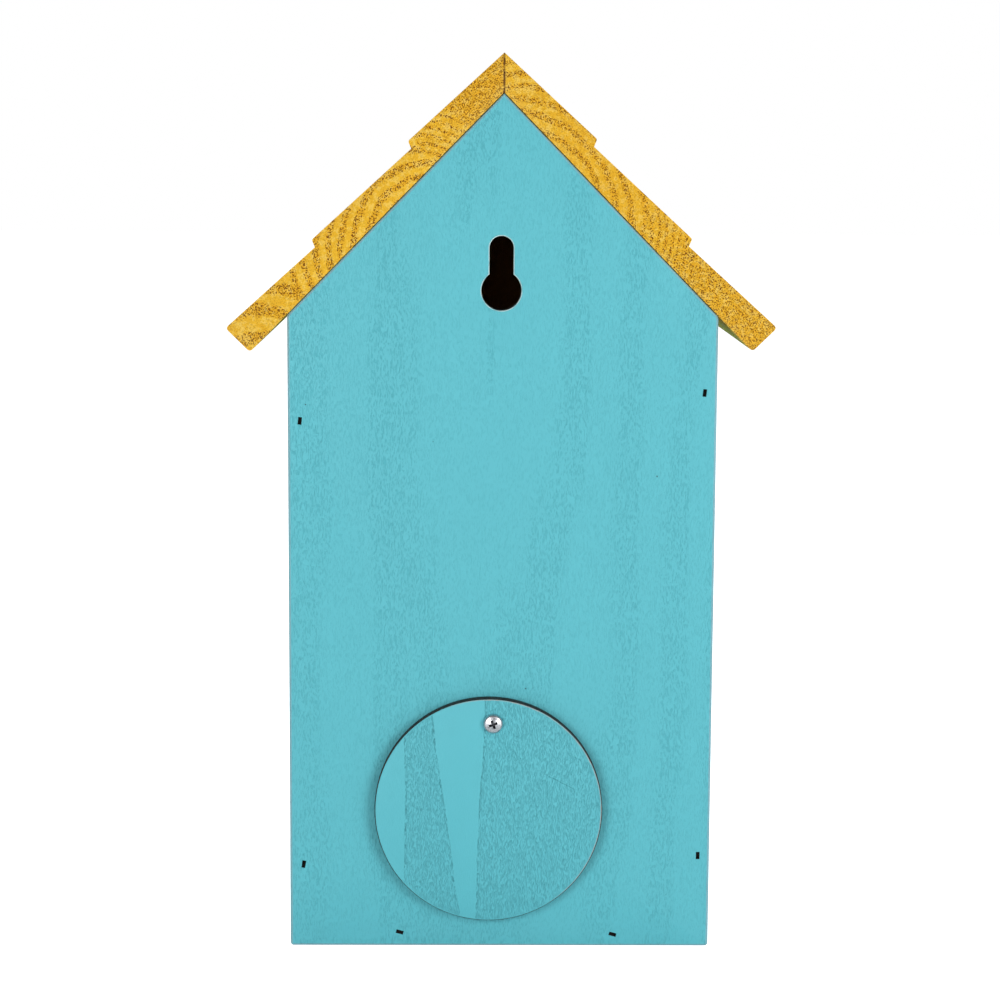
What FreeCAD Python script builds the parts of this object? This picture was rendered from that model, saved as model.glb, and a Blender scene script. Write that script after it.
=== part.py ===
"""Parametric FreeCAD model of a small gabled wooden birdhouse.

Frame: +Z up, origin at the centre of the underside. The entrance faces -Y. The back, with the hanging
keyhole and the clean-out cover, faces +Y. Lengths are in millimetres and angles in degrees.
"""
import FreeCAD, Part

import math
import os

import Sketcher

# Driving dimensions: alias, value, meaning.
DIMENSIONS = [
    ("body_width", 121.4, "outside width of the box and of both gable panels"),
    ("body_depth", 118.0, "outside depth of the box, front face to back face"),
    ("panel_height", 245.25, "underside to the apex of a gable panel"),
    ("roof_pitch", 45.6, "slope of each roof side, degrees above level"),
    ("board_thickness", 7.5, "thickness of the panels, walls and floor"),
    ("wall_top_gap", 0.4, "relief under the roof along the wall's bevelled top"),
    ("eye_diameter", 11.3, "keyhole: the round eye that a screw head enters"),
    ("eye_height", 190.4, "keyhole: centre of the eye above the underside"),
    ("slot_width", 6.8, "keyhole: width of the slot that hooks over the screw"),
    ("keyhole_offset", 0.5, "keyhole: off the centre plane"),
    ("slot_centre_height", 202.3, "keyhole: centre of the slot's round end"),
    ("pivot_offset", 2.2, "clean-out cover's screw, off the centre plane"),
    ("pivot_height", 67.1, "clean-out cover's screw above the underside"),
    ("pilot_diameter", 2.0, "pilot hole for the cover's screw"),
    ("cleanout_diameter", 46.0, "hole through the back panel for cleaning"),
    ("cleanout_height", 39.5, "centre of the clean-out hole"),
    ("cover_diameter", 65.5, "turning cover over the clean-out hole"),
    ("cover_thickness", 3.6, "turning cover"),
    ("cover_reach", 25.6, "cover centre below its screw"),
    ("cover_drift", 1.2, "cover centre beside its screw, as it hangs"),
    ("cover_gap", 0.2, "free space between cover and back panel"),
    ("cover_bore", 2.96, "screw hole through the cover"),
    ("cover_edge", 0.4, "rounding of the cover's rim"),
    ("screw_shank", 2.84, "smooth shank that the cover turns on"),
    ("screw_core", 2.0, "core of the screw under its thread"),
    ("screw_length", 11.2, "screw below its head"),
    ("screw_point", 2.0, "length of the screw's point"),
    ("thread_pitch", 1.1, "spacing of the thread's turns"),
    ("head_diameter", 5.6, "pan head"),
    ("head_height", 1.9, "pan head"),
    ("head_rounding", 1.3, "rounding of the pan head's top edge"),
    ("head_clearance", 0.1, "free space between screw head and cover"),
    ("recess_span", 3.0, "cross recess, tip to tip"),
    ("recess_width", 0.7, "cross recess, width of one arm"),
    ("recess_depth", 1.2, "cross recess, depth in the head"),
    ("entrance_diameter", 32.0, "entrance hole in the front panel"),
    ("entrance_height", 140.0, "centre of the entrance hole"),
    ("perch_diameter", 8.0, "perch dowel"),
    ("perch_reach", 34.0, "perch in front of the front panel"),
    ("perch_height", 104.0, "perch axis above the underside"),
    ("perch_rounding", 1.5, "rounding of the perch's free end"),
    ("drain_diameter", 6.0, "drain holes through the floor"),
    ("drain_inset", 16.0, "drain hole centres from the inside corners"),
    ("roof_overhang", 22.0, "roof in front of the front panel"),
    ("roof_gap", 0.12, "glue line between gable edges and roof boards"),
    ("ridge_gap", 0.1, "open line of the mitre along the ridge"),
    ("slope_length", 100.6, "underside of a roof board, apex to eave"),
    ("ridge_thickness", 7.6, "roof board at the mitre"),
    ("tip_thickness", 9.6, "roof board at the lower lip of each course"),
    ("root_thickness", 7.5, "roof board just below each lip"),
    ("first_lip", 27.3, "lower lip of the top course, down the slope"),
    ("second_lip", 65.8, "lower lip of the middle course, down the slope"),
    ("right_extra", 1.1, "how much longer the right board's top course is"),
    ("lip_lean", 0.9, "how far a lip's face leans down the slope"),
    ("lip_rounding", 0.5, "rounding of each lip"),
    ("eave_rounding", 1.0, "rounding of the eave's two long edges"),
    ("brad_length", 19.0, "18-gauge brad"),
    ("brad_sink", 1.0, "brad head below the wood's face"),
    ("brad_gauge", 1.02, "brad and slot across the narrow way"),
    ("brad_shank", 1.27, "brad shank across the wide way"),
    ("brad_head", 2.1, "brad head across the wide way"),
    ("brad_head_height", 0.8, "brad head along the brad"),
    ("brad_point", 1.6, "length of the brad's chisel point"),
    ("cut_margin", 1.0, "how far a hole's cutter stands out of the wood"),
]

HALF_WIDTH = "Dims.body_width / 2"
HALF_DEPTH = "Dims.body_depth / 2"
EAVE_HEIGHT = f"(Dims.panel_height - {HALF_WIDTH} * tan(Dims.roof_pitch))"
MID_BOARD = "Dims.board_thickness / 2"

Y_AXIS = FreeCAD.Vector(0, 1, 0)
Z_AXIS = FreeCAD.Vector(0, 0, 1)

doc = FreeCAD.newDocument("birdhouse")


def make_sheet():
    """Fill the spreadsheet: name, value with its alias, and meaning, one dimension to a row."""
    sheet = doc.addObject("Spreadsheet::Sheet", "Dims")
    for row, (alias, value, meaning) in enumerate(DIMENSIONS, start=1):
        sheet.set(f"A{row}", alias)
        sheet.set(f"B{row}", str(value))
        sheet.set(f"C{row}", meaning)
        sheet.setAlias(f"B{row}", alias)
    doc.recompute()
    return sheet


dims = make_sheet()


def size(expression):
    """Value of an expression over the sheet, as a plain number."""
    value = dims.evalExpression(expression)
    return float(getattr(value, "Value", value))


# ---- placing and sketching ------------------------------------------------------------------------

def place(item, x="0", y="0", z="0", rotation=FreeCAD.Rotation()):
    """Turn an object, and bind its place to the sheet."""
    item.Placement = FreeCAD.Placement(FreeCAD.Vector(0, 0, 0), rotation)
    for axis, expression in zip("xyz", (x, y, z)):
        item.setExpression(f".Placement.Base.{axis}", expression)


def new_body(name):
    """A PartDesign body with its own origin."""
    return doc.addObject("PartDesign::Body", name)


def new_sketch(body, name, role, offset=None):
    """A sketch on one of the body's own origin planes, lifted off it by an expression if given."""
    sketch = body.newObject("Sketcher::SketchObject", name)
    plane = next(item for item in body.Origin.OriginFeatures if item.Role == role)
    sketch.AttachmentSupport = [(plane, "")]
    sketch.MapMode = "FlatFace"
    if offset:
        sketch.setExpression(".AttachmentOffset.Base.z", offset)
    return sketch


def bind(sketch, name, constraint, expression):
    """Add a dimension to a sketch and drive it from the sheet."""
    index = sketch.addConstraint(constraint)
    sketch.renameConstraint(index, name)
    sketch.setExpression(f"Constraints.{name}", expression)


def pin_point(sketch, name, geometry, position, x, y):
    """Fix a sketch point at expressions for its two coordinates."""
    for kind, expression in (("DistanceX", x), ("DistanceY", y)):
        rule = Sketcher.Constraint(kind, -1, 1, geometry, position, size(expression))
        bind(sketch, f"{name}_{kind[-1]}", rule, expression)


def draw_polygon(sketch, points):
    """Closed outline through points given as pairs of expressions."""
    corners = [FreeCAD.Vector(size(x), size(y), 0) for x, y in points]
    count = len(points)
    for index in range(count):
        sketch.addGeometry(Part.LineSegment(corners[index], corners[(index + 1) % count]))
    for index in range(count):
        sketch.addConstraint(Sketcher.Constraint("Coincident", index, 2, (index + 1) % count, 1))
    for index, (x, y) in enumerate(points):
        pin_point(sketch, f"corner{index}", index, 1, x, y)


def draw_circle(sketch, name, diameter, x="0", y="0"):
    """Circle with its diameter and centre given as expressions."""
    centre = FreeCAD.Vector(size(x), size(y), 0)
    index = sketch.addGeometry(Part.Circle(centre, Z_AXIS, size(diameter) / 2))
    bind(sketch, f"{name}_diameter", Sketcher.Constraint("Diameter", index, size(diameter)), diameter)
    pin_point(sketch, name, index, 3, x, y)


def pad(body, sketch, length, both_ways=False):
    """Pad a sketch along its normal, or half to each side of its plane."""
    feature = body.newObject("PartDesign::Pad", f"{sketch.Name}_pad")
    feature.Profile = sketch
    feature.SideType = "Symmetric" if both_ways else "One side"
    feature.setExpression("Length", length)
    doc.recompute()


def cut_along_normal(body, sketch, depth):
    """Pocket into the solid on the side that the sketch's normal points to."""
    before = body.Shape.Volume
    feature = body.newObject("PartDesign::Pocket", f"{sketch.Name}_pocket")
    feature.Profile = sketch
    feature.Reversed = True
    feature.setExpression("Length", depth)
    doc.recompute()
    assert body.Shape.Volume < before, f"{sketch.Name} cuts nothing"


def fillet(body, name, radius, keep_edge):
    """Round the edges of the body that a test picks out."""
    edges = [f"Edge{index}" for index, edge in enumerate(body.Shape.Edges, start=1) if keep_edge(edge)]
    assert edges, f"{name} finds no edge"
    rounded = body.Tip
    feature = body.newObject("PartDesign::Fillet", name)
    feature.Base = (rounded, edges)
    feature.setExpression("Radius", radius)
    doc.recompute()


def boolean_cut(name, base, tools):
    """Take a group of tool objects out of a base object."""
    group = doc.addObject("Part::Compound", f"{name}_cutters")
    group.Links = tools
    result = doc.addObject("Part::Cut", name)
    result.Base = base
    result.Tool = group
    return result


# ---- brads ----------------------------------------------------------------------------------------

def make_brad(name, top):
    """A flat T-headed brad in the XZ plane: the wood's face at z = 0, its point down -Z."""
    body = new_body(name)
    sketch = new_sketch(body, f"{name}_outline", "XZ_Plane")
    head, shank = "Dims.brad_head / 2", "Dims.brad_shank / 2"
    neck = "-Dims.brad_sink - Dims.brad_head_height"
    tip = "-Dims.brad_sink - Dims.brad_length"
    shoulder = f"{tip} + Dims.brad_point"
    draw_polygon(sketch, [
        (f"-{head}", top), (head, top), (head, neck), (shank, neck), (shank, shoulder),
        ("Dims.brad_gauge / 4", tip), ("-Dims.brad_gauge / 4", tip), (f"-{shank}", shoulder),
        (f"-{shank}", neck), (f"-{head}", neck),
    ])
    pad(body, sketch, "Dims.brad_gauge", both_ways=True)
    return body


brad_master = make_brad("brad_master", "-Dims.brad_sink")
brad_hole_master = make_brad("brad_hole_master", "Dims.cut_margin")


class BradGroup:
    """Brads driven the same way through one board into others, and the holes that they make."""

    def __init__(self, name, outward, boards):
        """Args: node name, direction out of the wood, and the boards that the brads pass into."""
        self.name = name
        self.outward = outward
        self.boards = boards
        self.brads = []
        self.holes = []

    def drive(self, x, y, z, spin=0.0):
        """Drive one brad at a point of the wood's face, its head turned by spin degrees."""
        facing = FreeCAD.Rotation(Z_AXIS, self.outward)
        rotation = FreeCAD.Rotation(self.outward, spin).multiply(facing)
        number = len(self.brads) + 1
        for master, kind, made in ((brad_master, "brad", self.brads), (brad_hole_master, "hole", self.holes)):
            link = doc.addObject("App::Link", f"{self.name}_{kind}_{number}")
            link.LinkedObject = master
            place(link, x, y, z, rotation)
            made.append(link)

    def finish(self):
        """Join the group's brads, still separate solids, under the node's name."""
        group = doc.addObject("Part::Compound", self.name)
        group.Links = self.brads
        return group


def drive_panel_brads(side, outward, boards, wall_places, floor_places):
    """Brads through a gable panel: into both wall ends, upright, and into the floor, lying."""
    face = f"{'-' if side == 'front' else ''}{HALF_DEPTH}"
    walls = BradGroup(f"{side}_wall_brads", outward, boards)
    for sign, drift, height, spin in wall_places:
        walls.drive(f"{sign} * ({HALF_WIDTH} - {MID_BOARD} + {drift})", face, str(height), 90.0 + spin)
    floor = BradGroup(f"{side}_floor_brads", outward, boards)
    for across, drift, spin in floor_places:
        floor.drive(str(across), face, f"{MID_BOARD} + {drift}", spin)
    return [walls, floor]


def drive_side_brads(side, sign):
    """Brads through a wall into the floor's edge."""
    group = BradGroup(f"{side}_floor_brads", FreeCAD.Vector(sign, 0, 0), [f"{side}_wall", "floor_board"])
    for along in (-0.27, 0.25):
        group.drive(f"{sign} * {HALF_WIDTH}", f"{along} * Dims.body_depth", MID_BOARD, 90.0)
    return group


def drive_roof_brads(side, sign):
    """Brads square through a roof board into the sloping edges of both gable panels."""
    pitch = math.radians(size("Dims.roof_pitch"))
    outward = FreeCAD.Vector(sign * math.sin(pitch), 0, math.cos(pitch))
    group = BradGroup(f"roof_{side}_brads", outward, [f"roof_{side}", "back_panel", "front_panel"])
    for gable in (1, -1):
        for down in (18.0, 76.0):
            lift = f"(Dims.roof_gap + Dims.root_thickness + {brad_lift(down, sign)})"
            x = f"{sign} * ({down} * cos(Dims.roof_pitch) + {lift} * sin(Dims.roof_pitch))"
            z = f"Dims.panel_height - {down} * sin(Dims.roof_pitch) + {lift} * cos(Dims.roof_pitch)"
            group.drive(x, f"{gable} * ({HALF_DEPTH} - {MID_BOARD})", z)
    return group


def down_slope(name, sign):
    """Expression for a distance down the slope from the sheet, on the left or the right board."""
    return f"(Dims.{name} + Dims.right_extra)" if sign > 0 else f"Dims.{name}"


def brad_lift(down, sign):
    """Expression for the roof's outer face above the root thickness, at a distance down the slope."""
    slope = "(Dims.tip_thickness - Dims.root_thickness)"
    first, second, eave = (down_slope(name, sign) for name in ("first_lip", "second_lip", "slope_length"))
    if down < size(first):
        return f"({slope} - (Dims.tip_thickness - Dims.ridge_thickness) * (1 - {down} / {first}))"
    return f"({slope} * ({down} - {second}) / ({eave} - {second}))"


# ---- gable panels ---------------------------------------------------------------------------------

def make_panel_blank(name, outer_face):
    """Five-sided gable panel; its face in local XZ, its thickness towards -Y from outer_face."""
    body = new_body(name)
    outline = new_sketch(body, f"{name}_outline", "XZ_Plane")
    draw_polygon(outline, [
        (f"-{HALF_WIDTH}", "0"), (HALF_WIDTH, "0"), (HALF_WIDTH, EAVE_HEIGHT),
        ("0", "Dims.panel_height"), (f"-{HALF_WIDTH}", EAVE_HEIGHT),
    ])
    pad(body, outline, "Dims.board_thickness")
    place(body, y=outer_face)
    return body


def cut_circle(body, name, diameter, x="0", y="0"):
    """Round hole right through a panel."""
    sketch = new_sketch(body, name, "XZ_Plane")
    draw_circle(sketch, name, diameter, x, y)
    cut_along_normal(body, sketch, "Dims.board_thickness")


def cut_keyhole(body):
    """Hanging keyhole: a round eye below a narrower slot with a round top, as one outline."""
    sketch = new_sketch(body, "keyhole", "XZ_Plane")
    eye_radius, slot_radius = size("Dims.eye_diameter / 2"), size("Dims.slot_width / 2")
    eye = FreeCAD.Vector(size("Dims.keyhole_offset"), size("Dims.eye_height"), 0)
    slot_end = FreeCAD.Vector(eye.x, size("Dims.slot_centre_height"), 0)
    mouth = math.acos(slot_radius / eye_radius)
    shoulder = eye.y + eye_radius * math.sin(mouth)
    eye_circle = Part.Circle(eye, Z_AXIS, eye_radius)
    end_circle = Part.Circle(slot_end, Z_AXIS, slot_radius)
    sketch.addGeometry(Part.ArcOfCircle(eye_circle, math.pi - mouth, 2 * math.pi + mouth))
    sketch.addGeometry(Part.LineSegment(FreeCAD.Vector(eye.x + slot_radius, shoulder, 0),
                                        FreeCAD.Vector(eye.x + slot_radius, slot_end.y, 0)))
    sketch.addGeometry(Part.ArcOfCircle(end_circle, 0, math.pi))
    sketch.addGeometry(Part.LineSegment(FreeCAD.Vector(eye.x - slot_radius, slot_end.y, 0),
                                        FreeCAD.Vector(eye.x - slot_radius, shoulder, 0)))
    sketch.addConstraint(Sketcher.Constraint("Coincident", 0, 2, 1, 1))
    sketch.addConstraint(Sketcher.Constraint("Tangent", 1, 2, 2, 1))
    sketch.addConstraint(Sketcher.Constraint("Tangent", 2, 2, 3, 1))
    sketch.addConstraint(Sketcher.Constraint("Coincident", 3, 2, 0, 1))
    sketch.addConstraint(Sketcher.Constraint("Vertical", 1))
    bind(sketch, "eye_radius", Sketcher.Constraint("Radius", 0, eye_radius), "Dims.eye_diameter / 2")
    bind(sketch, "end_radius", Sketcher.Constraint("Radius", 2, slot_radius), "Dims.slot_width / 2")
    pin_point(sketch, "eye", 0, 3, "Dims.keyhole_offset", "Dims.eye_height")
    pin_point(sketch, "slot_end", 2, 3, "Dims.keyhole_offset", "Dims.slot_centre_height")
    cut_along_normal(body, sketch, "Dims.board_thickness")


def make_back_panel():
    """Back: hanging keyhole, clean-out hole and the pilot hole of the cover's screw."""
    body = make_panel_blank("back_panel_blank", HALF_DEPTH)
    cut_keyhole(body)
    cut_circle(body, "cleanout_hole", "Dims.cleanout_diameter", "Dims.pivot_offset", "Dims.cleanout_height")
    cut_circle(body, "screw_pilot", "Dims.pilot_diameter", "Dims.pivot_offset", "Dims.pivot_height")
    return body


def make_front_panel():
    """Front: entrance hole, and below it the hole that the perch is glued into."""
    body = make_panel_blank("front_panel_blank", f"-{HALF_DEPTH} + Dims.board_thickness")
    cut_circle(body, "entrance_hole", "Dims.entrance_diameter", "0", "Dims.entrance_height")
    cut_circle(body, "perch_hole", "Dims.perch_diameter", "0", "Dims.perch_height")
    return body


# ---- walls, floor and perch -----------------------------------------------------------------------

def make_wall(side, sign):
    """Side wall between the panels, its top bevelled to the roof's slope."""
    body = new_body(f"{side}_wall_blank")
    section = new_sketch(body, f"{side}_wall_section", "XZ_Plane")
    outer = f"{sign} * {HALF_WIDTH}"
    inner = f"{sign} * ({HALF_WIDTH} - Dims.board_thickness)"
    rise = "Dims.board_thickness * tan(Dims.roof_pitch)"
    draw_polygon(section, [
        (inner, "0"), (outer, "0"), (outer, f"{EAVE_HEIGHT} - Dims.wall_top_gap"),
        (inner, f"{EAVE_HEIGHT} - Dims.wall_top_gap + {rise}"),
    ])
    pad(body, section, "Dims.body_depth - 2 * Dims.board_thickness")
    place(body, y=f"{HALF_DEPTH} - Dims.board_thickness")
    return body


def make_floor():
    """Floor between walls and panels, with a drain hole near each corner."""
    body = new_body("floor_blank")
    half_x = f"({HALF_WIDTH} - Dims.board_thickness)"
    half_y = f"({HALF_DEPTH} - Dims.board_thickness)"
    outline = new_sketch(body, "floor_outline", "XY_Plane")
    corners = [(-1, -1), (1, -1), (1, 1), (-1, 1)]
    draw_polygon(outline, [(f"{sx} * {half_x}", f"{sy} * {half_y}") for sx, sy in corners])
    pad(body, outline, "Dims.board_thickness")
    drains = new_sketch(body, "drain_holes", "XY_Plane")
    for index, (sx, sy) in enumerate(corners):
        x, y = f"{sx} * ({half_x} - Dims.drain_inset)", f"{sy} * ({half_y} - Dims.drain_inset)"
        draw_circle(drains, f"drain{index}", "Dims.drain_diameter", x, y)
    cut_along_normal(body, drains, "Dims.board_thickness")
    return body


def make_perch():
    """Dowel glued through the front panel, flush inside, its free end rounded."""
    body = new_body("perch")
    section = new_sketch(body, "perch_section", "XZ_Plane")
    draw_circle(section, "dowel", "Dims.perch_diameter")
    pad(body, section, "Dims.board_thickness + Dims.perch_reach")
    free_end = -size("Dims.board_thickness + Dims.perch_reach")
    fillet(body, "perch_end", "Dims.perch_rounding",
           lambda edge: abs(edge.BoundBox.YMax - free_end) < 0.01)
    place(body, y=f"-{HALF_DEPTH} + Dims.board_thickness", z="Dims.perch_height")
    return body


# ---- roof -----------------------------------------------------------------------------------------

def make_roof_board(side, sign):
    """One board with three clapboard courses; drawn level, then tipped to the pitch about the ridge."""
    body = new_body(f"roof_{side}_blank")
    section = new_sketch(body, f"roof_{side}_section", "XZ_Plane")
    first, second, eave = (down_slope(name, sign) for name in ("first_lip", "second_lip", "slope_length"))
    outline = [
        ("0", "0"),
        (eave, "0"),
        (eave, "Dims.tip_thickness"),
        (f"{second} + Dims.lip_lean", "Dims.root_thickness"),
        (second, "Dims.tip_thickness"),
        (f"{first} + Dims.lip_lean", "Dims.root_thickness"),
        (first, "Dims.tip_thickness"),
        ("-Dims.ridge_thickness * tan(Dims.roof_pitch)", "Dims.ridge_thickness"),
    ]
    draw_polygon(section, [(f"{sign} * ({along})", up) for along, up in outline])
    pad(body, section, "Dims.body_depth + Dims.roof_overhang")

    def long_edge_at(along, up):
        """Test for the board's long edge through a point of its section."""
        return lambda edge: (edge.BoundBox.YLength > size("Dims.body_depth")
                             and abs(sign * edge.CenterOfMass.x - size(along)) < 0.05
                             and abs(edge.CenterOfMass.z - size(up)) < 0.05)

    fillet(body, f"roof_{side}_eave_top", "Dims.eave_rounding", long_edge_at(*outline[2]))
    fillet(body, f"roof_{side}_eave_under", "Dims.eave_rounding", long_edge_at(*outline[1]))
    fillet(body, f"roof_{side}_second_lip", "Dims.lip_rounding", long_edge_at(*outline[4]))
    fillet(body, f"roof_{side}_first_lip", "Dims.lip_rounding", long_edge_at(*outline[6]))
    place(body, f"{sign} * Dims.ridge_gap / 2", HALF_DEPTH,
          "Dims.panel_height + Dims.roof_gap / cos(Dims.roof_pitch)",
          FreeCAD.Rotation(Y_AXIS, sign * size("Dims.roof_pitch")))
    return body


# ---- clean-out cover and its screw ----------------------------------------------------------------

def make_cover():
    """Round cover that turns on its screw; local origin on the screw's axis at the outer face."""
    body = new_body("cleanout_cover")
    disc = new_sketch(body, "cover_disc", "XZ_Plane")
    draw_circle(disc, "disc", "Dims.cover_diameter", "Dims.cover_drift", "-Dims.cover_reach")
    pad(body, disc, "Dims.cover_thickness")
    fillet(body, "cover_rim", "Dims.cover_edge", lambda edge: edge.BoundBox.YLength < 0.01)
    bore = new_sketch(body, "cover_bore", "XZ_Plane")
    draw_circle(bore, "bore", "Dims.cover_bore")
    cut_along_normal(body, bore, "Dims.cover_thickness")
    place(body, "Dims.pivot_offset", f"{HALF_DEPTH} + Dims.cover_gap + Dims.cover_thickness",
          "Dims.pivot_height")
    return body


def make_screw():
    """Pan-head wood screw: local origin at the head's underside, head up +Z, ring-shaped thread."""
    body = new_body("cover_screw")
    profile = new_sketch(body, "screw_profile", "XZ_Plane")
    shank, core = "Dims.screw_shank / 2", "Dims.screw_core / 2"
    smooth = "-(Dims.cover_thickness + Dims.cover_gap)"
    tip = "-Dims.screw_length"
    turns = int((size("Dims.screw_length - Dims.screw_point") + size(smooth)) / size("Dims.thread_pitch"))
    points = [("0", "Dims.head_height"), ("Dims.head_diameter / 2", "Dims.head_height"),
              ("Dims.head_diameter / 2", "0"), (shank, "0"), (shank, smooth), (core, smooth)]
    for turn in range(turns):
        start = f"{smooth} - ({turn} + 0.4) * Dims.thread_pitch"
        points += [(core, start), (shank, f"{start} - 0.2 * Dims.thread_pitch"),
                   (core, f"{start} - 0.4 * Dims.thread_pitch")]
    points += [(core, f"{tip} + Dims.screw_point"), ("0", tip)]
    draw_polygon(profile, points)
    turned = body.newObject("PartDesign::Revolution", "screw_turned")
    turned.Profile = profile
    turned.ReferenceAxis = (profile, ["V_Axis"])
    doc.recompute()
    top = size("Dims.head_height")
    fillet(body, "head_edge", "Dims.head_rounding", lambda edge: abs(edge.BoundBox.ZMin - top) < 0.01)
    cut_cross_recess(body)
    place(body, "Dims.pivot_offset",
          f"{HALF_DEPTH} + Dims.cover_gap + Dims.cover_thickness + Dims.head_clearance",
          "Dims.pivot_height", FreeCAD.Rotation(Z_AXIS, Y_AXIS))
    return body


def cut_cross_recess(body):
    """Cross recess in the top of the screw's head."""
    cross = new_sketch(body, "cross_recess", "XY_Plane", "Dims.head_height - Dims.recess_depth")
    long, short = "Dims.recess_span / 2", "Dims.recess_width / 2"
    quarter = [(short, long), (short, short), (long, short)]
    points = []
    for sx, sy, order in ((1, 1, 1), (1, -1, -1), (-1, -1, 1), (-1, 1, -1)):
        points += [(f"{sx} * {x}", f"{sy} * {y}") for x, y in quarter[::order]]
    draw_polygon(cross, points)
    cut_along_normal(body, cross, "Dims.recess_depth")


# ---- assembly -------------------------------------------------------------------------------------

def drive_all_brads():
    """Every brad of the birdhouse, a little uneven, as they are driven by hand."""
    back_boards = ["back_panel", "left_wall", "right_wall", "floor_board"]
    front_boards = ["front_panel", "left_wall", "right_wall", "floor_board"]
    groups = drive_panel_brads(
        "back", Y_AXIS, back_boards,
        [(1, 0.3, 153.4, -7.0), (1, -0.2, 24.4, -9.0), (-1, 0.2, 161.8, -6.0), (-1, 0.4, 27.2, 0.0)],
        [(29.0, 0.4, -15.0), (-32.9, -0.2, -16.0)])
    groups += drive_panel_brads(
        "front", -Y_AXIS, front_boards,
        [(1, 0.2, 158.0, -4.0), (1, 0.5, 26.5, 5.0), (-1, -0.1, 151.0, 3.0), (-1, 0.3, 30.0, -6.0)],
        [(30.5, -0.2, -10.0), (-31.0, 0.2, 7.0)])
    for side, sign in (("left", -1), ("right", 1)):
        groups += [drive_side_brads(side, sign), drive_roof_brads(side, sign)]
    return groups


def assemble():
    """Make every board, cut the brad holes, and return the nodes by name."""
    blanks = {"back_panel": make_back_panel(), "front_panel": make_front_panel(), "floor_board": make_floor()}
    for side, sign in (("left", -1), ("right", 1)):
        blanks[f"{side}_wall"] = make_wall(side, sign)
        blanks[f"roof_{side}"] = make_roof_board(side, sign)
    groups = drive_all_brads()
    nodes = {}
    for name, blank in blanks.items():
        holes = [hole for group in groups if name in group.boards for hole in group.holes]
        nodes[name] = boolean_cut(name, blank, holes)
    nodes["perch"] = make_perch()
    nodes["cleanout_cover"] = make_cover()
    nodes["cover_screw"] = make_screw()
    for group in groups:
        nodes[group.name] = group.finish()
    return nodes


def check(nodes):
    """Stop if any object of the document failed, or any node's shape isn't sound."""
    for item in doc.Objects:
        faults = [state for state in item.State if state in ("Invalid", "Error")]
        assert not faults, f"{item.Name}: {item.State}"
    for name, item in nodes.items():
        assert not item.Shape.isNull() and item.Shape.isValid(), f"{name} isn't a sound shape"


def export(nodes):
    """Write each node's shape to its own STEP file."""
    os.makedirs("parts", exist_ok=True)
    for name, item in nodes.items():
        item.Label = name
        item.Shape.exportStep(f"parts/{name}.step")
        box = item.Shape.BoundBox
        print(f"{name:20s} {len(item.Shape.Solids)} solid(s) {item.Shape.Volume:10.1f} mm3  "
              f"x {box.XMin:7.2f} {box.XMax:7.2f}  y {box.YMin:7.2f} {box.YMax:7.2f}  "
              f"z {box.ZMin:7.2f} {box.ZMax:7.2f}")


all_nodes = assemble()
doc.recompute()
check(all_nodes)
export(all_nodes)
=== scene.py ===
"""Looks of a small painted wooden birdhouse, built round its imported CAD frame.

The box is five painted boards under a stained roof of two clapboard-cut boards. Its back carries a keyhole to
hang it by and a round laser-cut cover that turns on a screw. All lengths are in metres, in the CAD frame, with
+Z up, the entrance towards -Y and the back towards +Y.
"""
from __future__ import annotations

import logging
import math
from contextlib import contextmanager
from dataclasses import dataclass, field
from enum import Enum
from typing import Callable, Iterator

import bmesh
import bpy
from mathutils import Euler, Matrix, Vector

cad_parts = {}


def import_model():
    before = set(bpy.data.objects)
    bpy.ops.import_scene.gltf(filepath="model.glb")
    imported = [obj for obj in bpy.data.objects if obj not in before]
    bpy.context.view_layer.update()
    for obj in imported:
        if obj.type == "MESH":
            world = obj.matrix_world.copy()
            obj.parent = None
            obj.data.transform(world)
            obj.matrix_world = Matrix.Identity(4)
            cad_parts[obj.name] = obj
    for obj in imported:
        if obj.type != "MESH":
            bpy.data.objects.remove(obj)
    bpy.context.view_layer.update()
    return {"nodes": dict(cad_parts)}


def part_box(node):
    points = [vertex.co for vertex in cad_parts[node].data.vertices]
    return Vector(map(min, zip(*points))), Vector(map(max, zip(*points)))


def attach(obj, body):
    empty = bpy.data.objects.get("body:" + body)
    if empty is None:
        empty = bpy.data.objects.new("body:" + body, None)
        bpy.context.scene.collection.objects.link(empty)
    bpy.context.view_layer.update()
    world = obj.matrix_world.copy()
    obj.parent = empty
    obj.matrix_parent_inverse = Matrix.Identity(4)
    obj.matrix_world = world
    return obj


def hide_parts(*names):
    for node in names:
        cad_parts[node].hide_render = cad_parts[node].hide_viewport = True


MM = 0.001
TOUCH = 0.01 * MM  # nearer than this counts as touching
PITCH = math.radians(45.6)  # slope of each side of the roof
X_AXIS = Vector((1, 0, 0))
Y_AXIS = Vector((0, 1, 0))

Piece = bpy.types.Object
Node = bpy.types.Node
Socket = bpy.types.NodeSocket
Material = bpy.types.Material
Colour = tuple[float, float, float]
Triple = tuple[float, float, float]
Test = Callable[[Vector, Vector], bool]  # takes an element's middle and its way

log = logging.getLogger("birdhouse")


class Side(Enum):
    """Left or right of the birdhouse, as the sign of X."""

    LEFT = -1
    RIGHT = 1


class Element(Enum):
    """What edit mode selects, by its name in the operators and in the mesh."""

    POINT = ("VERT", "verts")
    EDGE = ("EDGE", "edges")
    FACE = ("FACE", "faces")


class Grain(Enum):
    """The frame axis that a board's grain runs along, as the turn that brings it onto Z."""

    UPRIGHT = (0.0, 0.0, 0.0)
    FORE_AND_AFT = (math.pi / 2, 0.0, 0.0)
    ACROSS = (0.0, -math.pi / 2, 0.0)


# ---- hand tools ------------------------------------------------------------------------------------------


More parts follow.
